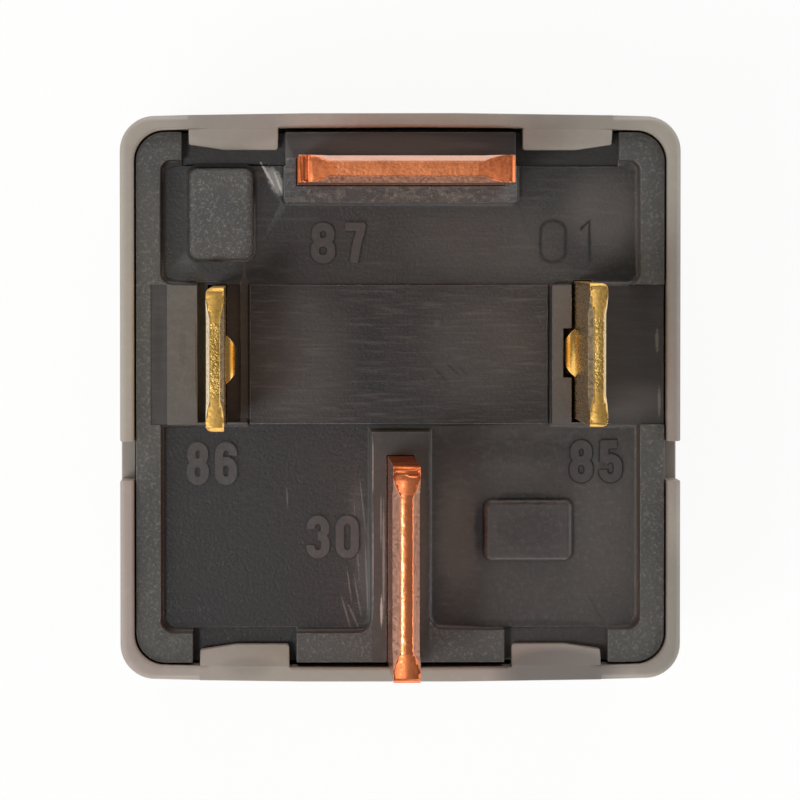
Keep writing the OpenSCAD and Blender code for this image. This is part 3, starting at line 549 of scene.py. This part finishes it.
# header: each face of the base gets the finish that its part of the mould had, with painted light on the
# right lower pocket and in the wells; lengths in mm

header = {"edge": 0.045, "foot": 0.2, "pocketDepth": 1.0, "blockX": 5.35, "blockY": 8.92,
          "ribX": 1.33, "ribY": -1.56, "middle": (-1.24, 5.18), "middleX": 7, "stripX": 11.5,
          "bladeY": (9.7, 10.96), "cutX": (-11.45, 11.4), "cutY": -10.6,
          "pads": {"pad": (-9.75, -6.7, 6.3, 10.55), "lowerRight": (3.75, 8, -7.6, -4.65)},  # x, y spans
          "depths": {"pads": 0.98, "rim": 0.05, "ledge": 0.3, "side": 0.8}}


def headerFinish(centre, normal):
    x, y, depth = centre.x / mm, centre.y / mm, (rimZ - centre.z) / mm
    inMiddle = header["middle"][0] < y < header["middle"][1]
    depths = header["depths"]
    for key, (left, right, low, high) in header["pads"].items():
        if depth < depths["pads"] and left < x < right and low < y < high:
            return key
    if normal.z < 0.7:
        return "well" if inMiddle else "strip"
    if depth < depths["rim"]:
        if abs(x) < header["blockX"] and y > header["blockY"]:
            return "polished" if y > header["bladeY"][1] else "rough"
        if abs(x) < header["ribX"] and y < header["ribY"]:
            return "rib"
        return "strip" if inMiddle and abs(x) < header["stripX"] else "rim"
    if depth < depths["ledge"]:
        return "polished"
    if inMiddle:
        if abs(x) < header["middleX"]:
            return "middle"
        return "polished" if depth < depths["side"] else "well"
    if y > 0:
        return "upper"
    return "lowerLeft" if x < 0 else "lowerRight"


def rimFaces(bm):
    return [f for f in bm.faces if f.normal.z > 0.9 and abs(f.calc_center_median().z - rimZ) < 1e-5]


floorZ = rimZ - header["pocketDepth"] * mm
bm = mergedCopy("base")
filletFoot(bm, header["foot"] * mm, floorZ)
for x in (header["cutX"][0], -header["blockX"], -header["ribX"], header["ribX"],
          header["blockX"], header["cutX"][1]):
    cutFaces(bm, rimFaces(bm), (x * mm, 0, 0), (1, 0, 0))
for y in (header["ribY"], *header["middle"], header["blockY"], *header["bladeY"], header["cutY"]):
    cutFaces(bm, rimFaces(bm), (0, y * mm, 0), (0, 1, 0))
bm.normal_update()
for face in bm.faces:
    face.material_index = finishOrder.index(headerFinish(face.calc_center_median(), face.normal))
# the rounded edges take the lighter finish, a painted highlight
roundEdges(bm, header["edge"] * mm, finishOrder.index("edge"))
headerPiece = shaded("header", bm, polyesters, "case", "base")
print("header made,", len(headerPiece.data.polygons), "faces")

# cover: the mould's edges are softened and the mouth's inner line is rounded; lengths in mm

can = {"edge": 0.06, "lip": 0.15, "wallAt": 12.1, "cornerAt": 10.7}


def onLip(vert):  # on the wall's inner line, not on a barb or in a notch
    x, y = abs(vert.co.x) / mm, abs(vert.co.y) / mm
    return vert.co.z > mouthZ - 1e-5 and (max(x, y) > can["wallAt"] or min(x, y) > can["cornerAt"])


bm = mergedCopy("cover")
convexFaces(bm)
lip = []
for edge in bm.edges:
    if not all(onLip(vert) for vert in edge.verts) or edge.calc_face_angle_signed(0) < math.radians(60):
        continue
    wall = min(edge.link_faces, key=lambda face: abs(face.normal.z))
    outward = (edge.verts[0].co + edge.verts[1].co).xy.normalized()
    if wall.normal.xy.dot(outward) < -0.6:
        lip.append(edge)
bmesh.ops.bevel(bm, geom=lip, offset=can["lip"] * mm, offset_type="OFFSET", segments=3, profile=0.5,
                affect="EDGES", clamp_overlap=False, loop_slide=False)
roundEdges(bm, can["edge"] * mm)
coverPiece = shaded("can", bm, [coverNylon], "case", "cover")
print("cover made,", len(coverPiece.data.polygons), "faces")


# blades: rolled faces, coined bevels, and an end face torn granular in its middle and smeared
# smooth where it flares; the end face is crowned, and its crown carries the hot streak; "across"
# is the thin axis, "tornEnd" the end that is layered or 0, and lengths are in mm

blades = {"terminal_87": {"across": 1, "crown": 0.03, "flare": 1.45, "tornEnd": -1, "wave": 0.3},
          "terminal_30": {"across": 0, "crown": 0.12, "flare": 1.1, "tornEnd": 1, "wave": 0.8},
          "terminal_85": {"across": 0, "crown": 0.06, "flare": 1.3, "tornEnd": 0, "wave": 0.3},
          "terminal_86": {"across": 0, "crown": 0.03, "flare": 1.3, "tornEnd": 0, "wave": 0.3}}
bladeShape = {"edge": 0.03, "cell": 0.12, "ridge": 2.0, "torn": 0.014, "seen": 5,
              "layer": 0.12, "layers": 3, "layerStep": 0.07, "layerWobble": 0.06}
crest = {"z": rimZ - 0.1 * mm, "high": 0.7, "flatter": 0.55, "vertsPast": 0.38, "facesPast": 0.405}


def tipFaces(bm):
    return [f for f in bm.faces if f.normal.z > 0.95 and f.calc_center_median().z > tipZ - 1e-5]


for node, blade in blades.items():
    bm = mergedCopy(node)
    roundEdges(bm, bladeShape["edge"] * mm)
    flat = blade["across"]
    isLoad = node in ("terminal_87", "terminal_30")
    metal = "copper" if isLoad else "brass"
    kinds = list(stripFinishes[metal])
    tipVerts = [v.co.copy() for f in tipFaces(bm) for v in f.verts]
    low = [min(v[i] for v in tipVerts) for i in range(2)]
    high = [max(v[i] for v in tipVerts) for i in range(2)]
    midX = abs(low[0] + high[0]) / 2
    if not isLoad:  # the pressed bump's upper half is flatter, so it shows a bright crest from above
        for vert in bm.verts:
            above = vert.co.z - crest["z"]
            if abs(vert.co.x) < midX - crest["vertsPast"] * mm and 0 < above < crest["high"] * mm:
                vert.co.z = crest["z"] + above * crest["flatter"]
    for axis in range(2):
        count = max(4, round((high[axis] - low[axis]) / (bladeShape["cell"] * mm)))
        for step in range(1, count):
            point, normal = [0, 0, 0], [0, 0, 0]
            point[axis] = low[axis] + (high[axis] - low[axis]) * step / count
            normal[axis] = 1
            cutFaces(bm, tipFaces(bm), point, normal)
    bm.normal_update()
    for face in bm.faces:
        middle = face.calc_center_median()
        fromEnd = min(middle[1 - flat] - low[1 - flat], high[1 - flat] - middle[1 - flat]) / mm
        if face.normal.z > 0.95 and middle.z > tipZ - 1e-5:
            torn = "burnished" if node == "terminal_30" else "sheared"
            kind = "smeared" if fromEnd < blade["flare"] else torn
        elif not isLoad and abs(middle.x) < midX - crest["facesPast"] * mm:
            kind = "coined" if abs(face.normal.x) > 0.98 else "pressed"
        elif face.normal[1 - flat] * blade["tornEnd"] > 0.7 and middle.z > rimZ:
            kind = "layered"
        elif abs(face.normal[flat]) > 0.995 or middle.z < mouthZ - bladeShape["seen"] * mm:
            kind = "rolled"
        else:
            kind = "coined" if abs(face.normal[flat]) > 0.5 else "smeared"
        face.material_index = kinds.index(kind)
    half = (high[flat] - low[flat]) / 2
    for vert in {v for f in tipFaces(bm) for v in f.verts}:
        off = min(1.0, abs(vert.co[flat] - low[flat] - half) / half)
        uneven = noise.noise(vert.co * perMm(blade["wave"])) * 0.5 + 0.5
        drop = blade["crown"] * off ** bladeShape["ridge"] + bladeShape["torn"] * uneven
        if blade["tornEnd"]:  # thin layers sheared off one behind the other at this end
            end = high[1 - flat] if blade["tornEnd"] > 0 else low[1 - flat]
            inward = abs(vert.co[1 - flat] - end) / mm + bladeShape["layerWobble"] * uneven
            layer = int(inward / bladeShape["layer"])
            drop += bladeShape["layerStep"] * max(0, bladeShape["layers"] - layer) * (0.6 + 0.8 * (layer % 2))
        vert.co.z -= drop * mm
    piece = shaded(node + ".strip", bm, stripFinishes[metal].values(), "case", node)
print("blades made")


# strokes raised from a surface or round wires, both swept along a curve by geometry nodes

def sweptTree(name, raised):
    tree = bpy.data.node_groups.new(name, "GeometryNodeTree")
    tree.interface.new_socket("Geometry", in_out="OUTPUT", socket_type="NodeSocketGeometry")
    sockets = {"Geometry": "NodeSocketGeometry", "Width": "NodeSocketFloat", "Top": "NodeSocketFloat",
               "Height": "NodeSocketFloat", "Finish": "NodeSocketMaterial"}
    for label, kind in sockets.items():
        tree.interface.new_socket(label, in_out="INPUT", socket_type=kind)
    given = addNode(tree, "NodeGroupInput").outputs
    if raised:
        section = addNode(tree, "GeometryNodeCurvePrimitiveQuadrilateral", {
            "Bottom Width": given["Width"], "Top Width": given["Top"], "Height": given["Height"],
            "Offset": 0.0}, mode="TRAPEZOID")
        along = addNode(tree, "GeometryNodeSetCurveNormal", {"Curve": given["Geometry"]}, mode="Z_UP")
    else:
        radius = addNode(tree, "ShaderNodeMath", {0: given["Width"], 1: 0.5}, operation="MULTIPLY")
        section = addNode(tree, "GeometryNodeCurvePrimitiveCircle", {
            "Resolution": 10, "Radius": radius})
        along = addNode(tree, "GeometryNodeSetCurveNormal", {
            "Curve": given["Geometry"]}, mode="MINIMUM_TWIST")
    swept = addNode(tree, "GeometryNodeCurveToMesh", {
        "Curve": along, "Profile Curve": section, "Fill Caps": True})
    smooth = addNode(tree, "GeometryNodeSetShadeSmooth", {
        "Geometry": swept, "Shade Smooth": not raised})
    real = addNode(tree, "GeometryNodeRealizeInstances", {"Geometry": smooth})
    painted = addNode(tree, "GeometryNodeSetMaterial", {
        "Geometry": real, "Material": given["Finish"]})
    addNode(tree, "NodeGroupOutput", {"Geometry": painted})
    return tree


strokeTree = sweptTree("raisedStroke", True)
wireTree = sweptTree("roundWire", False)


def sweep(name, tree, lines, sizes, material):  # lines: (points, closed) in metres
    data = bpy.data.curves.new(name, "CURVE")
    data.dimensions = "3D"
    for points, closed in lines:
        spline = data.splines.new("POLY")
        spline.points.add(len(points) - 1)
        for point, place in zip(spline.points, points):
            point.co = (*place, 1)
        spline.use_cyclic_u = closed
    curve = bpy.data.objects.new(name + ".line", data)
    bpy.context.scene.collection.objects.link(curve)
    modifier = curve.modifiers.new("sweep", "NODES")
    modifier.node_group = tree
    for item in tree.interface.items_tree:
        if item.name in sizes:
            modifier[item.identifier] = sizes[item.name]
        if item.name == "Finish":
            modifier[item.identifier] = material
    evaluated = curve.evaluated_get(bpy.context.evaluated_depsgraph_get())
    mesh = bpy.data.meshes.new_from_object(evaluated)
    bpy.data.objects.remove(curve)
    bm = bmesh.new()
    bm.from_mesh(mesh)
    bmesh.ops.remove_doubles(bm, verts=bm.verts, dist=1e-7)
    bmesh.ops.recalc_face_normals(bm, faces=bm.faces)
    bm.to_mesh(mesh)
    bm.free()
    return mesh


# plain numbers raised on the pocket floors; a digit is drawn in a box 1 wide and 1 high

def around(x, y, wide, high, degrees):
    return x + wide * math.cos(math.radians(degrees)), y + high * math.sin(math.radians(degrees))


def arc(x, y, wide, high, start, end, steps=12):
    return [around(x, y, wide, high, start + (end - start) * i / steps) for i in range(steps + 1)]


digits = {
    "0": [(arc(0, 0.76, 0.5, 0.24, 0, 180) + arc(0, 0.24, 0.5, 0.24, 180, 360), True)],
    "1": [([(-0.25, 0.8), (0.1, 1.0), (0.1, 0.5), (0.1, 0.0)], False)],
    "3": [(arc(0, 0.77, 0.48, 0.23, 190, 0) + arc(0, 0.73, 0.48, 0.2, 0, -90), False),
          (arc(0, 0.3, 0.5, 0.23, 90, 0) + arc(0, 0.23, 0.5, 0.23, 0, -190), False)],
    "5": [([(-0.62, 1.0), (0.44, 1.0)], False), ([(-0.4, 1.1), (-0.44, 0.48)], False),
          (arc(0, 0.37, 0.5, 0.22, 155, 0) + arc(0, 0.23, 0.5, 0.23, 0, -185), False)],
    "6": [(arc(0, 0.35, 0.5, 0.22, 0, 180) + arc(0, 0.23, 0.5, 0.23, 180, 360), True),
          ([(-0.5, 0.3)] + arc(0, 0.77, 0.5, 0.23, 180, -10), False)],
    "7": [([(-0.5, 1.0), (0.7, 1.0)], False), ([(0.52, 1.1), (0.46, 0.9), (0.22, 0.5), (0.02, -0.1)], False)],
    "8": [(arc(0, 0.8, 0.45, 0.2, 0, 180) + arc(0, 0.72, 0.45, 0.2, 180, 360), True),
          (arc(0, 0.3, 0.5, 0.22, 0, 180) + arc(0, 0.22, 0.5, 0.22, 180, 360), True)],
}
numbers = {"bold": (0.38, 0.24, 0.24), "fine": (0.13, 0.05, 0.06),  # width, top and height, half of it sunk
           "gap": 0.28, "apart": 0.012, "outline": 0.07, "outlineHeight": 0.05,
           "marks": {"87": (-4.10, 6.15, -1.58, 8.03), "86": (-9.82, -4.04, -7.50, -2.06),
                     "30": (-4.32, -7.43, -1.90, -5.45), "85": (7.82, -3.94, 10.23, -1.99),
                     "01": (6.40, 6.15, 9.24, 8.17)}}


def numberLines(word, box, stroke):
    left, low, right, high = box
    cell = (right - left - numbers["gap"] * (len(word) - 1)) / len(word)
    lines = []
    for i, digit in enumerate(word):
        middle = left + cell / 2 + i * (cell + numbers["gap"])
        for points, closed in digits[digit]:
            lift = numbers["apart"] * len(lines) * mm  # crossing strokes never share a plane
            lines.append(([((middle + x * (cell - stroke)) * mm,
                            (low + stroke / 2 + y * (high - low - stroke)) * mm, lift)
                           for x, y in points], closed))
    return lines


for word, box in numbers["marks"].items():
    fine = word == "01"  # the mould's own number is drawn thinner than the blades' numbers
    width, top, height = numbers["fine" if fine else "bold"]
    margin = 0 if fine else numbers["outline"]
    lines = numberLines(word, box, width)
    paint = [polyesters[finishOrder.index(key)] for key in ("fine", "figure")]
    raised = sweep("raised" + word, strokeTree, lines, {
        "Width": width * mm, "Top": top * mm, "Height": height * mm}, paint[1])
    outline = sweep("number" + word, strokeTree, lines, {
        "Width": (width + 2 * margin) * mm, "Top": (width + margin) * mm,
        "Height": numbers["outlineHeight"] * mm}, paint[0])
    bm = bmesh.new()  # a low dark stroke round each raised one, a painted shadow line at a moulded figure's foot
    bm.from_mesh(outline)
    outlineFaces = len(bm.faces)
    bm.from_mesh(raised)
    bm.faces.ensure_lookup_table()
    for i, face in enumerate(bm.faces):
        face.material_index = int(i >= outlineFaces and not fine)
    outline.materials.clear()
    for material in paint:
        outline.materials.append(material)
    bm.to_mesh(outline)
    bm.free()
    outline.transform(Matrix.Translation((0, 0, floorZ)))
    addObject("number_" + word, outline, "case")
print("numbers made")

# inner pieces: one finish for each kind of stock that they are made of; lengths in mm

def stock(name, look):
    material, tree, shader, place = newMaterial(
        name, look["colour"], look["roughness"], look.get("metallic", 0.0), look.get("ior"))
    shader.inputs["Coat Weight"].default_value = look.get("coat", 0.0)
    drawn = addNode(tree, "ShaderNodeMapping", {"Vector": place, "Scale": look.get("drawn", (1, 1, 1))})
    marks = addNode(tree, "ShaderNodeTexNoise", {
        "Vector": drawn, "Scale": perMm(look["pitch"]), "Detail": 4.0, "Roughness": 0.6})
    cloud = addNode(tree, "ShaderNodeTexNoise", {"Vector": place, "Scale": perMm(3.0), "Detail": 3.0})
    age = addNode(tree, "ShaderNodeMath", {0: cloud, 1: marks}, operation="ADD")
    tone = addNode(tree, "ShaderNodeMapRange", {0: age, 1: 0.8, 2: 1.25, 3: 0.0, 4: look["aged"]})
    shown = addNode(tree, "ShaderNodeMix", {
        "Factor": tone, "A": linearColour(look["colour"]), "B": linearColour(look["old"])},
        data_type="RGBA")
    for start, end, colour in look.get("rings", ()):  # painted rings, from x to x
        along = addNode(tree, "ShaderNodeSeparateXYZ", {0: place})
        off = addNode(tree, "ShaderNodeMath", {
            0: along.outputs["X"], 1: (start + end) / 2 * mm, 2: (end - start) / 2 * mm}, operation="COMPARE")
        shown = addNode(tree, "ShaderNodeMix", {
            "Factor": off, "A": shown.outputs["Result"], "B": linearColour(colour)},
            data_type="RGBA")
    sheen = (marks, look["roughness"] * 0.8, look["roughness"] * 1.25)
    finished(tree, shader, shown, marks, look["depth"] * mm, sheen)
    return material


stocks = {
    # ivory polyester with flow marks, for the bobbin
    "bobbin_plastic": ("mouldedPbt", {
        "colour": "#d5cdb2", "old": "#c2b794", "aged": 0.6, "roughness": 0.42, "ior": 1.57, "pitch": 0.5,
        "depth": 0.01}),
    # red-brown enamel on copper wire, with a thin gloss
    "enamel_wire": ("enamelledWire", {
        "colour": "#b4552c", "old": "#8a3a1c", "aged": 0.5, "roughness": 0.3, "metallic": 0.9, "coat": 0.5,
        "pitch": 0.6, "depth": 0.004}),
    # amber film, wound tight, glossy and faintly rippled along the winding
    "tape_film": ("polyesterTape", {
        "colour": "#c9982a", "old": "#b07f1c", "aged": 0.7, "roughness": 0.22, "ior": 1.6, "pitch": 0.35,
        "drawn": (1, 1, 4), "depth": 0.012}),
    # stamped soft iron under a bright zinc plate, satin with cloudy passivation
    "magnet_iron": ("zincPlatedIron", {
        "colour": "#bfc2c4", "old": "#a9a48f", "aged": 0.6, "roughness": 0.34, "metallic": 1.0,
        "pitch": 0.25, "depth": 0.006}),
    "rivet_brass": ("headedBrass", {
        "colour": "#dcb871", "old": "#a9813f", "aged": 0.5, "roughness": 0.3, "metallic": 1.0, "pitch": 0.2,
        "depth": 0.005}),
    # silver alloy, pressed, with a soft grey bloom
    "contact_silver": ("pressedSilverAlloy", {
        "colour": "#dedcd6", "old": "#b3aea4", "aged": 0.7, "roughness": 0.28, "metallic": 1.0,
        "pitch": 0.15, "depth": 0.004}),
    # rolled phosphor bronze, with rolling lines along the leaf
    "leaf_bronze": ("rolledBronze", {
        "colour": "#d3946a", "old": "#a3653f", "aged": 0.5, "roughness": 0.25, "metallic": 1.0,
        "pitch": 0.15, "drawn": (1, 0.08, 1), "depth": 0.003}),
    "spring_wire": ("drawnSteelWire", {
        "colour": "#a7a8aa", "old": "#7f7d7a", "aged": 0.5, "roughness": 0.27, "metallic": 1.0,
        "pitch": 0.2, "depth": 0.003}),
    "lead_wire": ("tinnedWire", {
        "colour": "#cfcfcc", "old": "#aaa9a4", "aged": 0.6, "roughness": 0.33, "metallic": 1.0,
        "pitch": 0.3, "depth": 0.005}),
    "braid_copper": ("bareCopperStrand", {
        "colour": "#dd8a5e", "old": "#a8542f", "aged": 0.6, "roughness": 0.28, "metallic": 1.0,
        "pitch": 0.3, "depth": 0.002}),
    # baked lacquer, glossy, with painted value rings
    "resistor_lacquer": ("bakedLacquer", {
        "colour": "#5d8f9c", "old": "#4c7c89", "aged": 0.5, "roughness": 0.3, "ior": 1.52, "coat": 0.4,
        "pitch": 0.5, "depth": 0.02,
        "rings": [(-2.5, -2.0, "#3c6a3f"), (-1.1, -0.6, "#2f5a9c"), (0.1, 0.6, "#2c211d"),
                  (1.9, 2.4, "#b79a4b")]}),
}
stockMaterials = {slot: stock(*stocks[slot]) for slot in stocks}
slotOf = {part["node"]: part["material_slot"] for part in frame["record"]["subparts"]}
moving = ("armature", "contact_leaf", "leaf_rivets", "moving_contact")

# stamped, turned and moulded inner pieces: their edges rounded by this many millimetres
softened = {"bobbin": 0.12, "core": 0.15, "yoke": 0.15, "yoke_rivets": 0.18, "armature": 0.12,
            "contact_leaf": 0.05, "leaf_rivets": 0.14, "moving_contact": 0.2, "fixed_contact": 0.2,
            "backstop": 0.1, "resistor": 0.25}
for node, width in softened.items():
    bm = mergedCopy(node)
    roundEdges(bm, width * mm)
    piece = shaded(node + ".part", bm, [stockMaterials[slotOf[node]]],
                   "armature" if node in moving else "case", node, 50)
tape = frame["nodes"]["coil_tape"].data.materials
tape.clear()
tape.append(stockMaterials["tape_film"])
print("inner pieces made")

# wires: lists of points in mm, made smooth and swept round

def smoothPath(points, steps):  # a Catmull-Rom curve through the points
    ends = [points[0]] + list(points) + [points[-1]]
    ends = [Vector(p) for p in ends]
    path = []
    for a, b, c, d in zip(ends, ends[1:], ends[2:], ends[3:]):
        for i in range(steps):
            t = i / steps
            path.append(0.5 * (2 * b + (c - a) * t + (2 * a - 5 * b + 4 * c - d) * t * t
                               + (3 * b - a - 3 * c + d) * t ** 3))
    return path + [ends[-1]]


def wirePiece(node, kind, paths, width):
    name = node + "." + kind
    lines = [([tuple(p * mm for p in point) for point in path], False) for path in paths]
    mesh = sweep(name, wireTree, lines, {"Width": width * mm}, stockMaterials[slotOf[node]])
    addObject(name, mesh, "case", node)


def helix(x, y, radius, start, rise, turns, step):
    return [(*around(x, y, radius, radius, a), start + rise * a / 360)
            for a in range(0, 360 * turns + 1, step)]


winding = {"pitch": 0.3, "wire": 0.26}
low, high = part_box("winding")
turns = int((high.z - low.z) / mm / winding["pitch"]) - 1
outer, start = high.x / mm - winding["wire"] / 2, low.z / mm + winding["wire"] / 2
wirePiece("winding", "turns", [helix(0, 0, outer, start, winding["pitch"], turns, 10)], winding["wire"])

spring = {"wire": 0.28, "radius": 0.8, "turns": 9, "axisIn": 0.94, "foot": 3.12, "head": 2.13}
low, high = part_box("return_spring")
x, y = high.x / mm - spring["axisIn"], high.y / mm - spring["axisIn"]
bottom, top = low.z / mm, high.z / mm
coilLow, coilHigh = bottom + spring["foot"], top - spring["head"]
coil = helix(x, y, spring["radius"], coilLow, (coilHigh - coilLow) / spring["turns"], spring["turns"], 15)
lowHook = smoothPath([(x + 0.7, y, bottom + 0.19), (x + 0.1, y, bottom + 0.16), (x, y, bottom + 0.4),
                      (x, y, coilLow - 0.8), (x + 0.4, y, coilLow - 0.3), coil[0]], 6)
highHook = smoothPath([coil[-1], (x + 0.3, y, coilHigh + 0.35), (x - 0.75, y, top - 1.48),
                       (x - 0.9, y, top - 1.13), (x - 0.9, y, top - 0.28), (x - 0.7, y, top - 0.14),
                       (x + 0.3, y, top - 0.15)], 6)
wirePiece("return_spring", "wire", [lowHook[:-1] + coil + highHook[1:]], spring["wire"])

# braid: strands that wind both ways round the route and pass over and under each other
braid = {"strands": 6, "wire": 0.2, "radius": 0.36, "pitch": 3.2}
low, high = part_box("braid")
route = smoothPath([(high.x / mm - 0.5, -10.9, high.z / mm), (-1.1, -10.9, 14.4), (-1.5, -10.95, 13.2),
                    (-2.2, -11, 11.8), (-3, -11, 10.2), (-3.5, -11, 8.6), (-3.7, -11, 7), (-3.6, -10.9, 5.6),
                    (-3.6, -10.85, low.z / mm + 0.02)], 18)
strands = []
for k in range(2 * braid["strands"]):
    way = 1 if k % 2 else -1
    gone, path = 0, []
    for i, point in enumerate(route):
        tangent = (route[min(i + 1, len(route) - 1)] - route[max(i - 1, 0)]).normalized()
        side = tangent.cross(Vector((0, 1, 0))).normalized()
        gone += (point - route[i - 1]).length if i else 0
        turn = 2 * math.pi * (k // 2 / braid["strands"] + way * gone / braid["pitch"])
        away = braid["radius"] + way * braid["wire"] * 0.45 * math.cos(braid["strands"] * turn)
        path.append(point + away * (math.cos(turn) * side + math.sin(turn) * side.cross(tangent)))
    strands.append(path)
wirePiece("braid", "strands", strands, braid["wire"])

# leads of the resistor and of the coil, the same on both sides
leads = {"resistorWire": 0.6, "coilWire": 0.24}
for side, number in ((1, "85"), (-1, "86")):
    low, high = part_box("resistor_lead_85")
    x, y, z = low.x / mm, high.y / mm - leads["resistorWire"] / 2, (low.z + high.z) / 2 / mm
    out = high.x / mm - leads["resistorWire"] / 2
    path = smoothPath([(x, y, z), (x + 1.5, y, z), (6, y, z), (6.7, y - 0.25, z), (7.2, y - 0.9, z),
                       (out, 4.28, z), (out, low.y / mm, z)], 5)
    mirrored = [(side * p.x, p.y, p.z) for p in path]
    wirePiece("resistor_lead_" + number, "wire", [mirrored], leads["resistorWire"])
    low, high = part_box("coil_lead_85")
    out, z = high.x / mm - leads["coilWire"] / 2, high.z / mm
    path = smoothPath([(low.x / mm + 0.14, high.y / mm - 0.05, z - 1.6), (6.7, 0.22, z - 1.78),
                       (out - 0.6, 0.3, z - 0.32), (out, 1.48, z - 0.12)], 6)
    mirrored = [(side * p.x, p.y, p.z) for p in path]
    wirePiece("coil_lead_" + number, "wire", [mirrored], leads["coilWire"])
print("winding, spring, braid and leads made")
